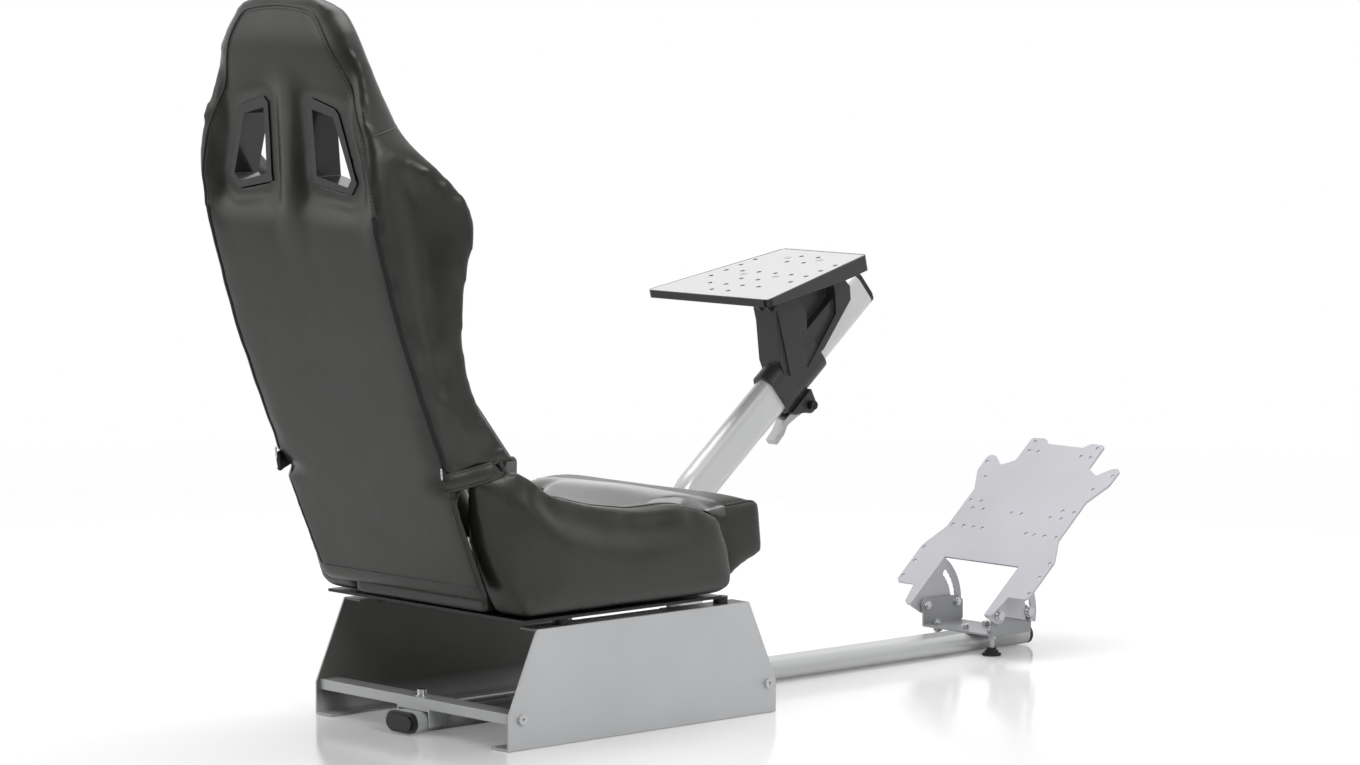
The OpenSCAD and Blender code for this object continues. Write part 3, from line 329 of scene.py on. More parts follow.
# Leatherette: black-green vinyl on knitted backing, with pores and slow wrinkles.
def leatherette(name, colour, roughness, pore_scale=950.0, wrinkle=0.0008, coat=0.0):
    """Vinyl cover: pores over slow wrinkles, with slow patches of dull and shiny."""
    material, tree, shader = new_material(name)
    where = add_node(tree, "ShaderNodeTexCoord").outputs["Object"]
    pores = use_group(tree, skin, {"Where": where, "Scale": pore_scale, "Waves": 14.0,
                                   "Wave share": 0.0})
    slow = add_node(tree, "ShaderNodeTexNoise", {"Vector": where, "Scale": 13.0, "Detail": 2.5,
                                                 "Roughness": 0.45, "Distortion": 0.5})
    fine = add_node(tree, "ShaderNodeTexNoise", {"Vector": where, "Scale": 240.0, "Detail": 4.0})
    shade = ranged(tree, slow.outputs[0], 0.3, 0.7, 0.92, 1.08)
    speck = ranged(tree, fine.outputs[0], 0.3, 0.7, 0.93, 1.07)
    both = maths(tree, "MULTIPLY", shade.outputs[0], speck.outputs[0])
    tint = add_node(tree, "ShaderNodeVectorMath", {0: colour, "Scale": both.outputs[0]},
                    operation="SCALE")
    rough = ranged(tree, slow.outputs[0], 0.3, 0.7, roughness - 0.05, roughness + 0.07)
    folds = add_node(tree, "ShaderNodeBump", {"Height": slow.outputs[0], "Strength": 1.0,
                                              "Distance": wrinkle})
    bump = add_node(tree, "ShaderNodeBump", {"Height": pores.outputs["Height"], "Strength": 0.7,
                                             "Distance": 0.00012, "Normal": folds.outputs[0]})
    tree.links.new(tint.outputs[0], shader.inputs["Base Color"])
    tree.links.new(rough.outputs[0], shader.inputs["Roughness"])
    tree.links.new(bump.outputs[0], shader.inputs["Normal"])
    shader.inputs["Coat Weight"].default_value = coat
    shader.inputs["Coat Roughness"].default_value = 0.16
    return material


seat_leather = leatherette("seat_leather", (0.024, 0.0229, 0.0188), 0.32)
# The cushion's top vinyl is lighter in colour: a painted reflection of the white studio at a grazing view.
cushion_leather_painted_reflection = leatherette("cushion_leather_painted_reflection", (0.05, 0.049, 0.046), 0.30, wrinkle=0.0005, coat=0.9)


def joined_copy(name, sources, fillets=()):
    """A copy of CAD solids as one mesh, with lofted fillets, from which a padded piece is made."""
    bm = bmesh.new()
    for source in sources:
        bm.from_mesh(nodes[source].data)
    for rows in fillets:
        corners = [[bm.verts.new(tuple(map(float, p))) for p in row] for row in rows]
        count = len(corners[0])
        for lower, upper in zip(corners[:-1], corners[1:]):
            for k in range(count):
                bm.faces.new([lower[k], lower[(k + 1) % count], upper[(k + 1) % count], upper[k]])
        bm.faces.new(corners[0])
        bm.faces.new(corners[-1][::-1])
    bmesh.ops.remove_doubles(bm, verts=bm.verts, dist=1e-6)
    bmesh.ops.recalc_face_normals(bm, faces=bm.faces)
    mesh = bpy.data.meshes.new(name)
    bm.to_mesh(mesh)
    bm.free()
    piece = bpy.data.objects.new(name, mesh)
    scene.collection.objects.link(piece)
    return piece


def apply_all(piece):
    """Turns the piece's modifiers into its mesh."""
    bpy.context.view_layer.update()
    made = bpy.data.meshes.new_from_object(piece.evaluated_get(
        bpy.context.evaluated_depsgraph_get()))
    piece.modifiers.clear()
    old = piece.data
    piece.data = made
    bpy.data.meshes.remove(old)


def points_of(mesh):
    """The mesh's points as an array."""
    flat_list = np.empty(len(mesh.vertices) * 3)
    mesh.vertices.foreach_get("co", flat_list)
    return flat_list.reshape(-1, 3)


def normals_of(mesh):
    """The mesh's point normals as an array."""
    flat_list = np.empty(len(mesh.vertices) * 3)
    mesh.vertices.foreach_get("normal", flat_list)
    return flat_list.reshape(-1, 3)


def set_points(mesh, points):
    """Moves the mesh's points."""
    mesh.vertices.foreach_set("co", points.ravel())
    mesh.update()


def relax(mesh, rounds, keep):
    """Evens the surface: each point moves to its neighbours' mean, then part of the way back."""
    points = points_of(mesh)
    pairs = np.empty(len(mesh.edges) * 2, int)
    mesh.edges.foreach_get("vertices", pairs)
    a, b = pairs.reshape(-1, 2).T
    count = np.bincount(np.concatenate([a, b]), minlength=len(points))[:, None]
    for _ in range(rounds):
        for share in (0.55, -0.55 * keep):
            mean = np.stack([np.bincount(a, points[b, i], len(points))
                             + np.bincount(b, points[a, i], len(points)) for i in range(3)], 1)
            points = points + share * (mean / count - points)
    set_points(mesh, points)


COVER_FRAMES = 20
KEEP = 0.6


def stuffed(name, sources, rounds, cap, held=None, shrink=0.002, step=0.006, shape=None, finish=None,
            outlines=(), fillets=()):
    """Foam under a sewn cover: CAD solids remeshed, evened, then blown up by a cloth simulation.

    Rounds of evening come first, shape and finish move its points, and cap is the most it swells."""
    piece = joined_copy(name, sources, fillets)
    remesh = piece.modifiers.new("voxels", "REMESH")
    remesh.mode = "VOXEL"
    remesh.voxel_size = step
    apply_all(piece)
    cut = points_of(piece.data)
    relax(piece.data, rounds, KEEP)
    if shape:
        set_points(piece.data, shape(points_of(piece.data), normals_of(piece.data)))
        relax(piece.data, 3, KEEP)
    start = points_of(piece.data)
    held_top = start[held(start), 2].max() if held else 0.0
    set_points(piece.data, start - shrink * normals_of(piece.data))
    pinned = piece.vertex_groups.new(name="held")
    still = np.nonzero(held(start))[0].tolist() if held else []
    pinned.add(still, 1.0, "REPLACE")
    cloth = piece.modifiers.new("cover", "CLOTH")
    cloth.settings.quality = 4
    cloth.settings.mass = 0.4
    cloth.settings.tension_stiffness = 12
    cloth.settings.compression_stiffness = 12
    cloth.settings.bending_stiffness = 1.5
    cloth.settings.use_pressure = True
    cloth.settings.uniform_pressure_force = 4.0
    cloth.settings.effector_weights.gravity = 0
    cloth.settings.vertex_group_mass = "held" if still else ""
    cloth.collision_settings.use_collision = False
    cloth.point_cache.frame_start = 1
    cloth.point_cache.frame_end = COVER_FRAMES
    for k in range(1, COVER_FRAMES + 1):
        scene.frame_set(k)
    blown = points_of(piece.evaluated_get(bpy.context.evaluated_depsgraph_get()).data)
    piece.modifiers.clear()
    scene.frame_set(1)
    begun = points_of(piece.data)
    moved = blown - begun
    far = np.linalg.norm(moved, axis=1, keepdims=True)
    free = 1.0 if held is None else rise(begun[:, 2], held_top, held_top + 0.12)[:, None]
    set_points(piece.data, begun + free * moved * np.minimum(1.0, cap / np.maximum(far, 1e-9)))
    piece.vertex_groups.clear()
    relax(piece.data, 2, KEEP)
    for outline in outlines:
        set_points(piece.data, hold_outline(points_of(piece.data), cut, *outline))
    if outlines:
        relax(piece.data, 6, KEEP)
    if finish:
        set_points(piece.data, finish(points_of(piece.data)))
    finer = piece.modifiers.new("finer", "SUBSURF")
    finer.levels = finer.render_levels = 1
    apply_all(piece)
    piece.data.polygons.foreach_set("use_smooth", [True] * len(piece.data.polygons))
    piece.data.materials.clear()
    piece.data.materials.append(seat_leather)
    return piece


def hold_outline(points, cut, axis, low, high, measure, push, reach=0.05, step=0.012):
    """Moves a cover's outermost points back out to the foam's outline, slice by slice along an axis.

    The outline is where the measure, a direction, is greatest in each slice; push is the move's direction."""
    count = int((high - low) / step)
    middles = low + (np.arange(count) + 0.5) * step
    nothing = -9.0

    def outermost(p):
        slice_of = ((p[:, axis] - low) / step).astype(int)
        good = (p[:, axis] > low) & (slice_of < count)
        far = np.full(count, nothing)
        np.maximum.at(far, slice_of[good], (p @ np.array(measure))[good])
        return far

    def smoothed(row, weights):
        half = len(weights) // 2
        return np.convolve(np.pad(row, half, mode="edge"), np.array(weights) / sum(weights), mode="valid")

    now, wanted = outermost(points), outermost(cut)
    present = (now > nothing) & (wanted > nothing)
    wanted = smoothed(np.interp(middles, middles[present], wanted[present]), [1, 2, 3, 2, 1])
    now = np.where(present, now, np.interp(middles, middles[present], now[present]))
    gap = smoothed(np.where(present, np.clip(wanted - now, -0.006, 0.03), 0.0), [1, 2, 1])
    edge = np.interp(points[:, axis], middles, now)
    share = rise(points @ np.array(measure) - edge, -reach, -0.004)
    share *= rise(points[:, axis], low, low + 2 * step) * rise(-points[:, axis], -high, -high + 2 * step)
    return points + (share * np.interp(points[:, axis], middles, gap))[:, None] * np.array(push)


def bump_of(distance, width):
    """A smooth bump of the distance: one at zero, falling off over the width."""
    return np.exp(-(distance / width) ** 2)


def rise(value, low, high):
    """Zero below low, one above high, smooth between them."""
    t = np.clip((value - low) / (high - low), 0, 1)
    return t * t * (3 - 2 * t)


# Seat base: a foam cushion with a deep front block, between two bolsters that sweep up at the rear.
CREST_X = np.array([-237, -193, -168, -99, -29, 42, 87, 118, 137, 144]) / 1000
CREST_Z = np.array([373, 347, 331, 312, 302, 304, 294, 276, 247, 213]) / 1000


def bolster_relief(points, normals):
    """Under the crest the cover is drawn in to a groove, then swells over the foam's belly."""
    x, y, z = points.T
    below = np.interp(x, CREST_X, CREST_Z) - z
    outside = rise(np.abs(y), 0.19, 0.215)
    along = rise(x, -0.27, -0.17) * rise(-x, -0.11, 0.0)
    inward = outside * along * (0.015 * bump_of(below - 0.024, 0.016) - 0.004 * bump_of(below - 0.066, 0.026))
    inward -= 0.009 * rise(np.abs(y), 0.165, 0.195) * bump_of(x + 0.235, 0.055) * rise(-below, -0.07, -0.02)
    moved = points.copy()
    moved[:, 1] -= np.sign(y) * inward
    return moved


RESTING_Z = 0.178


def low_part(points):
    """What rests on the pan."""
    return points[:, 2] < RESTING_Z


for side in ("right", "left"):
    bolster = stuffed(f"seat_bolster_cover_{side}", [f"seat_bolster_{side}"], 14, 0.005,
                      held=low_part, shape=bolster_relief,
                      outlines=[(0, -0.29, 0.13, (0, 0, 1), (0, 0, 1), 0.03)])
    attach(bolster, "base")
    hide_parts(f"seat_bolster_{side}")


def cushion_crown(points, normals):
    """The sitting surface crowns along its middle, and the front block bows a little."""
    x, y, z = points.T
    top = rise(normals[:, 2], 0.3, 0.8)
    moved = points.copy()
    moved[:, 2] += top * 0.004 * bump_of(y, 0.09) * rise(0.2 - x, 0.0, 0.1)
    return moved


cushion = stuffed("seat_cushion_cover", ["seat_cushion"], 9, 0.008, held=low_part, shape=cushion_crown)
# The sitting surface is a smoother, shinier vinyl than the sides; its lighter colour on the top faces is a
# painted reflection of the white studio.
cushion.data.materials.append(cushion_leather_painted_reflection)
for face in cushion.data.polygons:
    if face.normal.z > 0.1 and face.center.x < 0.147 and face.center.z > 0.25:
        face.material_index = 1
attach(cushion, "base")
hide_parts("seat_cushion")

# Seat back: one cover drawn over the rear shell, the head and both wings, and a foam pad let
# into its front. The rear panel is hollow round the harness windows.
REAR_Z = np.array([190, 250, 300, 350, 366, 400, 450, 500, 550, 600, 650, 700, 750, 800, 850, 900,
                   940, 965, 980]) / 1000
REAR_X = np.array([-249, -275, -296, -316, -322, -335, -354, -372, -391, -407, -421, -435, -444,
                   -447, -451, -453, -453, -452, -448]) / 1000
HALF_Z = np.array([190, 200, 300, 400, 500, 550, 600, 700, 750, 800, 850, 900, 930, 950, 968,
                   980]) / 1000
HALF_Y = np.array([172, 180, 183, 185, 186, 189, 190, 190, 189, 181, 163, 145, 130, 116, 96,
                   60]) / 1000


def back_relief(points, normals):
    """Dished wing sides, a soft roll along the front of the wings, and a fuller head."""
    x, y, z = points.T
    moved = points.copy()
    rear = np.interp(z, REAR_Z, REAR_X)
    front = np.interp(z, [0.38, 0.404, 0.44, 0.486, 0.545, 0.596, 0.64, 0.69, 0.735, 0.779, 0.803],
                      [-0.221, -0.252, -0.277, -0.297, -0.310, -0.313, -0.309, -0.303, -0.326,
                       -0.366, -0.393])
    along = (x - rear) / np.maximum(front - rear, 0.03)
    side = rise(np.abs(y) - 0.150, 0.02, 0.04) * rise(np.abs(normals[:, 1]), 0.35, 0.8)
    tall = rise(z, 0.41, 0.50) * rise(0.80 - z, 0.0, 0.06)
    moved[:, 1] -= np.sign(y) * side * tall * 0.011 * bump_of(along - 0.50, 0.20)
    crest = rise(along, 0.6, 1.0) * rise(np.abs(y), 0.150, 0.18)
    crest = crest * rise(z, 0.40, 0.46) * rise(0.80 - z, 0.0, 0.03)
    # The head is a little fuller across its middle.
    moved[:, 1] *= 1 + 0.055 * bump_of(z - 0.885, 0.045)
    moved[:, 0] += 0.005 * crest
    moved[:, 1] += np.sign(y) * 0.004 * crest
    return moved


# Outline of a harness window's frame, as width and height on the left half, and how deep behind
# the panel's own surface the cover's rear side, its middle and its front side lie there.
FRAME_YZ = np.array([(41, 843), (50, 851), (98, 838), (105, 831), (134, 744), (119, 728), (43, 740)]) / 1000
FRAME_REAR, FRAME_HALFWAY, FRAME_FRONT = 0.0170, 0.034, 0.0520
OVERLAP = 0.0003


def meet_frames(points):
    """The cover's cut edges are drawn in until they meet the harness windows' frames."""
    moved = points.copy()
    for sign in (1, -1):
        near = np.full(len(points), np.inf)
        spot = np.zeros((len(points), 2))
        outward = np.zeros((len(points), 2))
        middle = FRAME_YZ.mean(axis=0)
        flat_points = np.stack([sign * points[:, 1], points[:, 2]], 1)
        for a, b in zip(FRAME_YZ, np.roll(FRAME_YZ, -1, axis=0)):
            run = b - a
            t = np.clip((flat_points - a) @ run / (run @ run), 0, 1)
            foot = a + t[:, None] * run
            gap = np.linalg.norm(flat_points - foot, axis=1)
            side = np.array([run[1], -run[0]]) / np.linalg.norm(run)
            if side @ (a - middle) < 0:
                side = -side
            closer = gap < near
            near[closer] = gap[closer]
            spot[closer] = foot[closer]
            outward[closer] = side
        drawn = (near < 0.008) & (sign * points[:, 1] > 0) & (points[:, 0] < -0.36)
        moved[drawn, 1] = sign * (spot[drawn, 0] + OVERLAP * outward[drawn, 0])
        moved[drawn, 2] = spot[drawn, 1] + OVERLAP * outward[drawn, 1]
        # Beside the frame the cover comes up level with the frame's own face, behind and in front.
        depth = points[:, 0] - np.interp(points[:, 2], REAR_Z, REAR_X)
        beside = (sign * points[:, 1] > 0) * (1 - rise(near, 0.006, 0.026))
        behind = beside * (depth < FRAME_HALFWAY)
        moved[:, 0] += behind * (FRAME_REAR - depth)
        ahead = beside * (depth >= FRAME_HALFWAY) * (np.abs(points[:, 1]) < 0.137)
        moved[:, 0] += ahead * (FRAME_FRONT - depth)
    return moved


# Gusset from the head's side down to the wing: at each height its front turns on the line where the
# depth and the width, weighed by ACROSS_X and ACROSS_Y, reach the limit.
ACROSS_X, ACROSS_Y = 0.74, 0.673
GUSSET_INNER = 0.138
TURN_Z = [0.784, 0.806, 0.832, 0.857, 0.888]
TURN_LIMIT = [-0.146, -0.168, -0.184, -0.194, -0.206]


def gusset(sign):
    """Rows of four corners, one row for each height."""
    rows = []
    for z in np.linspace(0.796, 0.862, 9):
        limit = np.interp(z, TURN_Z, TURN_LIMIT)
        outer, rear = np.interp(z, HALF_Z, HALF_Y) - 0.002, np.interp(z, REAR_Z, REAR_X)
        inner_front = min((limit - ACROSS_Y * GUSSET_INNER) / ACROSS_X, rear + 0.066)
        outer_front = (limit - ACROSS_Y * outer) / ACROSS_X
        rows.append([(rear + 0.008, sign * GUSSET_INNER, z), (rear + 0.008, sign * outer, z),
                     (outer_front, sign * outer, z), (inner_front, sign * GUSSET_INNER, z)])
    return rows


def low_flap(points):
    """The thin flap, which the cover only lies on."""
    return points[:, 2] < 0.300


back = stuffed("back_cover", ["back_shell", "head_pad", "back_bolster_right", "back_bolster_left"],
               16, 0.004, held=low_flap, shape=back_relief, step=0.0068, shrink=0.001,
               finish=meet_frames, fillets=[gusset(1), gusset(-1)],
               outlines=[(1, -0.16, 0.16, (0, 0, 1), (0, 0, 1), 0.03),
                         (2, 0.34, 1.02, (0, 1, 0), (0, 1, 0)), (2, 0.34, 1.02, (0, -1, 0), (0, -1, 0)),
                         (2, 0.33, 0.975, (ACROSS_X, -ACROSS_Y, 0), (1.35, 0, 0)),
                         (2, 0.33, 0.975, (ACROSS_X, ACROSS_Y, 0), (1.35, 0, 0))])
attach(back, "backrest")
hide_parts("back_shell", "head_pad", "back_bolster_right", "back_bolster_left")


def pad_crown(points, normals):
    """The back pad swells over the loins and the shoulders."""
    x, y, z = points.T
    front = rise(normals[:, 0], 0.3, 0.8)
    moved = points.copy()
    moved[:, 0] += front * bump_of(y, 0.085) * (0.004 + 0.004 * bump_of(z - 0.40, 0.07))
    return moved


pad = stuffed("back_pad_cover", ["back_pad"], 8, 0.008, shape=pad_crown)
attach(pad, "backrest")
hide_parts("back_pad")


# Seams: piping, sewn lines and stitches laid on the finished covers.
def skin_of(piece):
    """A search tree over a finished cover."""
    bm = bmesh.new()
    bm.from_mesh(piece.data)
    found = BVHTree.FromBMesh(bm)
    bm.free()
    return found


def even_steps(path, step):
    """The path's points again, at equal distances along it."""
    path = np.asarray(path, float)
    run = np.concatenate([[0], np.cumsum(np.linalg.norm(np.diff(path, axis=0), axis=1))])
    at = np.linspace(0, run[-1], max(int(run[-1] / step), 2) + 1)
    return np.stack([np.interp(at, run, path[:, i]) for i in range(3)], 1)


def evened(path, rounds):
    """Smooths a path in place, with its ends kept."""
    for _ in range(rounds):
        path[1:-1] = (path[:-2] + path[1:-1] * 2 + path[2:]) / 4


def laid_on(skin_tree, path, toward, step=0.004, lift=0.0):
    """Drops the path on a cover along toward; returns its points and the cover's normals."""
    toward = Vector(toward).normalized()
    points, normals = [], []
    for p in even_steps(path, step):
        hit, normal, _, _ = skin_tree.ray_cast(Vector(p) - toward * 0.25, toward)
        if hit is not None:
            points.append(hit)
            normals.append(normal)
    points, normals = np.array(points), np.array(normals)
    evened(normals, 3)
    evened(points, 3)
    normals /= np.linalg.norm(normals, axis=1, keepdims=True)
    return points + normals * lift, normals


def frames_along(points, normals):
    """Unit vectors along the path, across it, and out of the surface."""
    along = np.gradient(points, axis=0)
    along /= np.linalg.norm(along, axis=1, keepdims=True)
    across = np.cross(normals, along)
    across /= np.linalg.norm(across, axis=1, keepdims=True)
    return along, across, np.cross(along, across)


def carried(name, points, normals, profile, material, body, taper=True):
    """Carries a closed profile, in across and out, along a path, and closes its ends."""
    profile = np.asarray(profile, float)
    along, across, out = frames_along(points, normals)
    size = np.ones(len(points))
    if taper:
        size[[0, -1]] = 0.35
    rings = points[:, None] + size[:, None, None] * (
        profile[None, :, :1] * across[:, None] + profile[None, :, 1:] * out[:, None])
    count = len(profile)
    faces = [list(f) for f in grid_faces(len(points), count)]
    faces += [list(range(count)), list(range((len(points) - 1) * count, len(points) * count))]
    piece = new_piece(name, rings.reshape(-1, 3), faces)
    piece.data.materials.append(material)
    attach(piece, body)
    return piece


def piped(name, points, normals, radius, body="backrest"):
    """A piping cord or sewn ridge along a path, with a round profile of eight sides."""
    a = np.arange(8) * 2 * np.pi / 8
    return carried(name, points, normals, radius * np.stack([np.cos(a), np.sin(a)], 1), seam_edge, body)


def stitched(name, points, normals, body, pitch=0.0052, length=0.0034, radius=0.00045):
    """A row of stitches: small spindles along the path, each a six-sided bead with pointed ends."""
    run = np.concatenate([[0], np.cumsum(np.linalg.norm(np.diff(points, axis=0), axis=1))])
    at = np.arange(pitch / 2, run[-1], pitch)
    p = np.stack([np.interp(at, run, points[:, i]) for i in range(3)], 1)
    n = np.stack([np.interp(at, run, normals[:, i]) for i in range(3)], 1)
    along, across, out = frames_along(p, n)
    a = np.arange(6) * np.pi / 3
    ring = np.array([(s, np.cos(t), np.sin(t)) for s in (-0.32, 0.32) for t in a]
                    + [(-0.5, 0, -0.4), (0.5, 0, -0.4)])
    beads = (p[:, None] + ring[None, :, :1] * length * along[:, None]
             + ring[None, :, 1:2] * radius * across[:, None] + ring[None, :, 2:] * radius * out[:, None])
    faces = [[k, (k + 1) % 6, 6 + (k + 1) % 6, 6 + k] for k in range(6)]
    faces += [[12, (k + 1) % 6, k] for k in range(6)] + [[13, 6 + k, 6 + (k + 1) % 6] for k in range(6)]
    every = [[v + 14 * i for v in f] for i in range(len(p)) for f in faces]
    piece = new_piece(name, beads.reshape(-1, 3), every)
    piece.data.materials.append(thread)
    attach(piece, body)
    return piece


thread = hard_finish("thread", (0.030, 0.029, 0.026), 0.6, peel=3000.0, edge=0.0002)
seam_edge = leatherette("seam_edge", (0.026, 0.025, 0.022), 0.38, wrinkle=0.0004)
back_skin, cushion_skin = skin_of(back), skin_of(cushion)
bolster_skins = {s: skin_of(bpy.data.objects[f"seat_bolster_cover_{s}"]) for s in ("right", "left")}


def rear_edge(sign, z0, z1, inset, count=60):
    """A line on the rear panel, inset from its outline, between two heights."""
    z = np.linspace(z0, z1, count)
    return np.stack([np.full(count, -0.5), sign * (np.interp(z, HALF_Z, HALF_Y) - inset), z], 1)


# The rear panel is piped from the zips over the crown, with a sewn line beside the piping.
SEAM_Z = [0.70, 0.80, 0.84, 0.90, 0.95]
SEAM_INSET = [0.011, 0.016, 0.022, 0.030, 0.032]
for label, more, z_top in (("rear_piping", 0.0, 0.962), ("rear_stitches", 0.006, 0.957)):
    inset = np.interp(np.linspace(0.700, z_top, 60), SEAM_Z, SEAM_INSET) + more
    up = rear_edge(-1, 0.700, z_top, inset)
    over = np.linspace(up[-1, 1], -up[-1, 1], 30)
    crown = np.stack([np.full(30, -0.5), over, z_top + 0.007 * (1 - (over / up[-1, 1]) ** 2)], 1)
    line = np.concatenate([up, crown[1:-1], rear_edge(1, 0.700, z_top, inset)[::-1]])
    points, normals = laid_on(back_skin, line, (1, 0, 0), lift=0.0002)
    if label == "rear_piping":
        piped(label, points, normals, 0.0017)
    else:
        stitched(label, points, normals, "backrest")

for sign, side in ((-1, "right"), (1, "left")):
    # Seam between the head's side and the wing.
    x = np.linspace(-0.446, -0.386, 16)
    line = np.stack([x, np.full(16, sign * 0.4), 0.803 + 0.25 * (x + 0.446)], 1)
    points, normals = laid_on(back_skin, line, (0, -sign, 0), step=0.003, lift=0.0001)
    piped(f"head_seam_{side}", points, normals, 0.0011)
    # Sewn edge along the base bolster's crest and down its front.
    x = np.linspace(-0.175, 0.125, 50)
    line = np.stack([x, np.full(50, sign * 0.200), np.full(50, 0.5)], 1)
    points, normals = laid_on(bolster_skins[side], line, (0, 0, -1), step=0.003, lift=0.0001)
    piped(f"bolster_piping_{side}", points, normals, 0.0014, "base")

# Hem round the foot of each wing: a doubled band with a sewn ridge along both edges, which
# closes the fold between the wing and the base bolster. It turns round the wing's nose.
HEM_PATH = np.array([(-325, 186, 360), (-304, 191, 364), (-282, 198, 370), (-262, 206, 376),
                     (-244, 214, 381), (-236, 218, 384), (-229, 217, 385), (-225, 210, 386),
                     (-226, 201, 386), (-233, 191, 385), (-244, 181, 383), (-258, 170, 379)]) / 1000
HEM_DROP = 0.005
HEM_PROFILE = np.array([(-12.6, -4.0), (-13.0, -0.6), (-12.0, 0.6), (-10.4, 0.9), (-9.6, 0.4), (-8.6, 0.8),
                        (0.0, 1.5), (8.6, 0.8), (9.6, 0.4), (10.4, 0.9), (12.0, 0.6), (13.0, -0.6),
                        (12.6, -4.0)]) / 1000
for sign, side in ((-1, "right"), (1, "left")):
    path = even_steps(HEM_PATH * (1, sign, 1) - (0, 0, HEM_DROP), 0.004)
    evened(path, 6)
    tangent = np.gradient(path, axis=0)
    facing = np.stack([-tangent[:, 1], tangent[:, 0], np.zeros(len(path))], 1) * sign
    facing /= np.linalg.norm(facing, axis=1, keepdims=True)
    found = []
    for k, (spot, out) in enumerate(zip(path, facing)):
        # The wing is felt a little above the hem, where its side is still full.
        start = Vector(spot + out * 0.04 + (0, 0, 0.026))
        hit, _, _, _ = back_skin.ray_cast(start, Vector(-out), 0.09)
        if hit is not None:
            found.append((k, hit[0] + out[0] * 0.0002, hit[1] + out[1] * 0.0002))
    found = np.array(found)
    for row in (0, 1):
        path[:, row] = np.interp(np.arange(len(path)), found[:, 0], found[:, row + 1])
    evened(path, 8)
    carried(f"wing_hem_{side}", path, facing, HEM_PROFILE, seat_leather, "backrest",
            taper=False)
    for row, shift in (("upper", 0.0100), ("lower", -0.0100)):
        piped(f"wing_hem_seam_{row}_{side}", path + facing * 0.0007 + (0, 0, shift), facing, 0.0011)

# The flap under the back is turned over and sewn down along its foot and both sides.
FLAP_FOOT_Z = 0.212
for sign, side in ((-1, "right"), (1, "left")):
    line = rear_edge(sign, FLAP_FOOT_Z, 0.366, 0.016)
    points, normals = laid_on(back_skin, line, (1, 0, 0), lift=0.0001)
    piped(f"flap_seam_{side}", points, normals, 0.0010)
y = np.linspace(-0.160, 0.160, 60)
line = np.stack([np.full(60, -0.6), y, np.full(60, FLAP_FOOT_Z)], 1)
points, normals = laid_on(back_skin, line, (1, 0, 0), lift=0.0001)
piped("flap_seam_foot", points, normals, 0.0010)

# Piping round the top of the cushion's front block.
BLOCK_HALF_Y = 0.197
y = np.concatenate([np.full(12, -BLOCK_HALF_Y), np.linspace(-BLOCK_HALF_Y, BLOCK_HALF_Y, 60),
                    np.full(12, BLOCK_HALF_Y)])
x = np.concatenate([np.linspace(0.150, 0.207, 12), np.full(60, 0.209), np.linspace(0.207, 0.150, 12)])
points, normals = laid_on(cushion_skin, np.stack([x, y, np.full(84, 0.5)], 1), (0, 0, -1), lift=0.0004)
piped("cushion_piping", points, normals, 0.0019, "base")

# Zips: woven tape with two rows of teeth down each side of the rear panel, and a pull at the foot.
zip_tape = hard_finish("zip_tape", (0.012, 0.012, 0.012), 0.7, peel=2400.0, peel_depth=0.0002,
                       edge=0.0002)
zip_teeth = hard_finish("zip_teeth", (0.05, 0.05, 0.052), 0.35, metallic=0.7, edge=0.0001)
for sign, side in ((-1, "right"), (1, "left")):
    z = np.linspace(0.372, 0.704, 120)
    line = np.stack([np.full(120, -0.6), np.full(120, sign * 0.1745), z], 1)
    points, normals = laid_on(back_skin, line, (1, 0, 0), lift=0.0002)
    tape = carried(f"zip_tape_{side}", points, normals,
                   [(-0.0042, -0.0006), (0.0042, -0.0006), (0.0040, 0.0005), (0.0016, 0.0011),
                    (0.0, 0.0006), (-0.0016, 0.0011), (-0.0040, 0.0005)], zip_tape, "backrest")
    hang = np.stack([np.linspace(points[2, 0] - 0.0035, points[0, 0] - 0.0045, 8), np.full(8, points[0, 1]),
                     np.linspace(0.376, 0.360, 8)], 1)
    carried(f"zip_pull_{side}", hang, np.tile((-1.0, 0.0, -0.35), (8, 1)) / 1.06,
            [(-0.0014, -0.0007), (0.0014, -0.0007), (0.0017, 0.0), (0.0014, 0.0007), (-0.0014, 0.0007),
             (-0.0017, 0.0)], bright_steel, "backrest")
    if side == "right":
        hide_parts("back_zip")
    for row, shift in (("a", -0.0011), ("b", 0.0011)):
        along, across, out = frames_along(points, normals)
        teeth = stitched(f"zip_teeth_{row}_{side}", points + across * shift + out * 0.0011, normals,
                         "backrest", pitch=0.0024, length=0.0013, radius=0.0008)
        teeth.data.materials.clear()
        teeth.data.materials.append(zip_teeth)

# Harness windows: deep black plastic bezels let through the back, with a rolled rim on each face.
bezel_plastic = hard_finish("bezel_plastic", (0.012, 0.012, 0.013), 0.20, peel=600.0, edge=0.0015,
                            worn_colour=(0.03, 0.03, 0.03), coat=0.3)
dress(bezel_plastic, "harness_bezel_right", "harness_bezel_left")

# Deck bracket: black glass-filled moulding, a split sleeve that a quick-release clamp closes.
bracket_moulding = hard_finish("bracket_moulding", (0.040, 0.037, 0.036), 0.38, peel=1300.0,
                               peel_depth=0.00008, edge=0.0022, worn_colour=(0.07, 0.066, 0.064),
                               mottle=0.08)
cast_alloy = hard_finish("cast_alloy", (0.52, 0.52, 0.53), 0.30, metallic=0.9, edge=0.0015, peel=500.0)
dress(bracket_moulding, "deck_bracket")
dress(black_steel, "clamp_bolt")
dress(cast_alloy, "clamp_lever")
dress(bright_steel, "deck_screws")
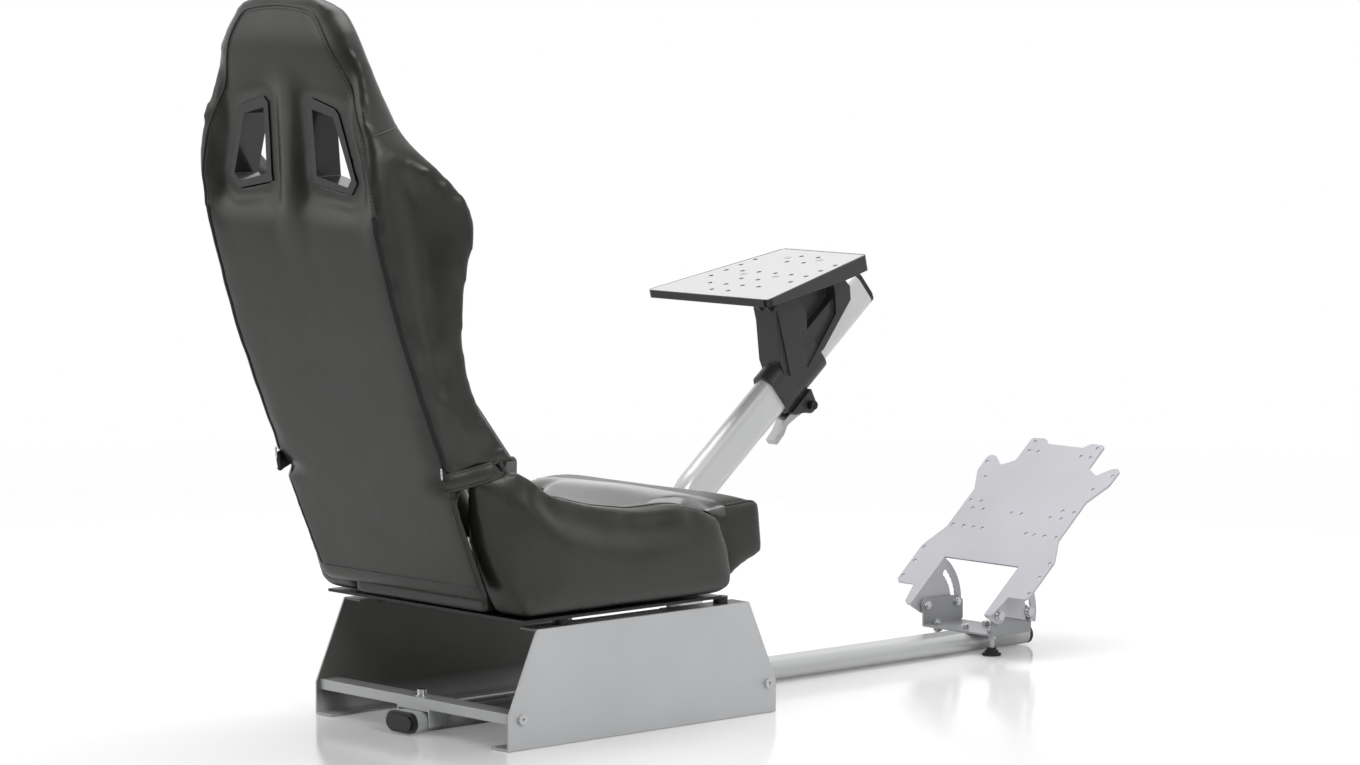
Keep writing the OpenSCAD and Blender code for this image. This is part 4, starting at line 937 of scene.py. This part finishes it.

# Wheel deck: folded sheet with black gloss folded edges; its face is painted pale satin, a painted reflection
# of the bright studio at a grazing view.
DECK_AT = (0.296, 0.0, 0.556)
DECK_TILT = math.radians(12.3)
DECK_UP = (-math.sin(DECK_TILT), 0.0, math.cos(DECK_TILT))
deck_paint, tree, shader = new_material("deck_paint")
where = add_node(tree, "ShaderNodeTexCoord").outputs["Object"]
local = add_node(tree, "ShaderNodeMapping", {"Vector": where, "Location": DECK_AT,
                                             "Rotation": (0, -DECK_TILT, 0)}, vector_type="TEXTURE")
parts = add_node(tree, "ShaderNodeSeparateXYZ", {0: local.outputs[0]})
on_top = ranged(tree, parts.outputs[2], -0.0004, -0.0001)
# The face narrows to the front; the painted reflection keeps 2.2 to 3.2 mm from the outline.
half = ranged(tree, parts.outputs[0], 0.008, 0.227, 0.1245, 0.086)
width = maths(tree, "ABSOLUTE", parts.outputs[1])
inside = maths(tree, "SUBTRACT", half.outputs[0], width.outputs[0])
to_front = maths(tree, "SUBTRACT", 0.235, parts.outputs[0])
nearest = maths(tree, "MINIMUM", inside.outputs[0], to_front.outputs[0])
nearest = maths(tree, "MINIMUM", nearest.outputs[0], parts.outputs[0])
painted_reflection_field = ranged(tree, nearest.outputs[0], 0.0022, 0.0032)
relief = use_group(tree, skin, {"Where": where, "Scale": 900.0, "Waves": 12.0, "Wave share": 0.2})
edges = use_group(tree, soft_edge, {"Where": where, "Radius": 0.003})
# The painted reflection stops a little short of each screw hole, and a dark rim of painted shade shows round
# it.
face = maths(tree, "MULTIPLY", on_top.outputs[0], painted_reflection_field.outputs[0])
away = add_node(tree, "ShaderNodeVectorMath", {0: edges.outputs["Normal"], 1: DECK_UP},
                operation="DOT_PRODUCT")
clear_of_rim_shade = ranged(tree, away.outputs["Value"], 0.93, 0.98)
face = maths(tree, "MULTIPLY", face.outputs[0], clear_of_rim_shade.outputs[0])
# Black gloss paint, with the pale painted reflection on the face.
colour = add_node(tree, "ShaderNodeMix", {"Factor": face.outputs[0], 6: (0.016, 0.0155, 0.014, 1),
                                          7: (0.66, 0.66, 0.655, 1)}, data_type="RGBA")
rough = ranged(tree, face.outputs[0], 0.0, 1.0, 0.16, 0.30)
bump = add_node(tree, "ShaderNodeBump", {"Height": relief.outputs["Height"], "Strength": 1.0,
                                         "Distance": 0.00003, "Normal": edges.outputs["Normal"]})
tree.links.new(colour.outputs[2], shader.inputs["Base Color"])
tree.links.new(rough.outputs[0], shader.inputs["Roughness"])
tree.links.new(bump.outputs[0], shader.inputs["Normal"])
dress(deck_paint, "wheel_deck")

# Pedal end: a folded bracket bolted on the tube, two levelling feet, and the tilting pedal plate.
pedal_paint = hard_finish("pedal_paint", (0.545, 0.538, 0.575), 0.36, metallic=0.2, edge=0.0012, mottle=0.03)
bracket_paint = hard_finish("bracket_paint", (0.36, 0.365, 0.375), 0.38, metallic=0.3, edge=0.0012,
                            mottle=0.04)
foot_rubber = hard_finish("foot_rubber", (0.016, 0.016, 0.017), 0.62, peel=700.0, edge=0.0012,
                          peel_depth=0.0001)
dress(bracket_paint, "pedal_bracket")
dress(bright_steel, "bracket_bolts", "pivot_bolts", "lock_bolts")
dress(foot_rubber, "foot_right", "foot_left")
# The feet's moulded pads are black rubber, the studs and nuts above them bright.
tree = foot_rubber.node_tree
shader = tree.nodes["Principled BSDF"]
where = add_node(tree, "ShaderNodeTexCoord").outputs["Object"]
height = add_node(tree, "ShaderNodeSeparateXYZ", {0: where}).outputs[2]
PAD_TOP_Z = 0.012
above = ranged(tree, height, PAD_TOP_Z - 0.0001, PAD_TOP_Z + 0.0001)
rubber = shader.inputs["Base Color"].links[0].from_socket
steel = add_node(tree, "ShaderNodeMix", {"Factor": above.outputs[0], 6: rubber, 7: (0.55, 0.555, 0.56, 1)},
                 data_type="RGBA")
tree.links.new(steel.outputs[2], shader.inputs["Base Color"])
tree.links.new(above.outputs[0], shader.inputs["Metallic"])
smooth = ranged(tree, above.outputs[0], 0.0, 1.0, 0.62, 0.26)
tree.links.new(smooth.outputs[0], shader.inputs["Roughness"])
dress(pedal_paint, "pedal_plate")
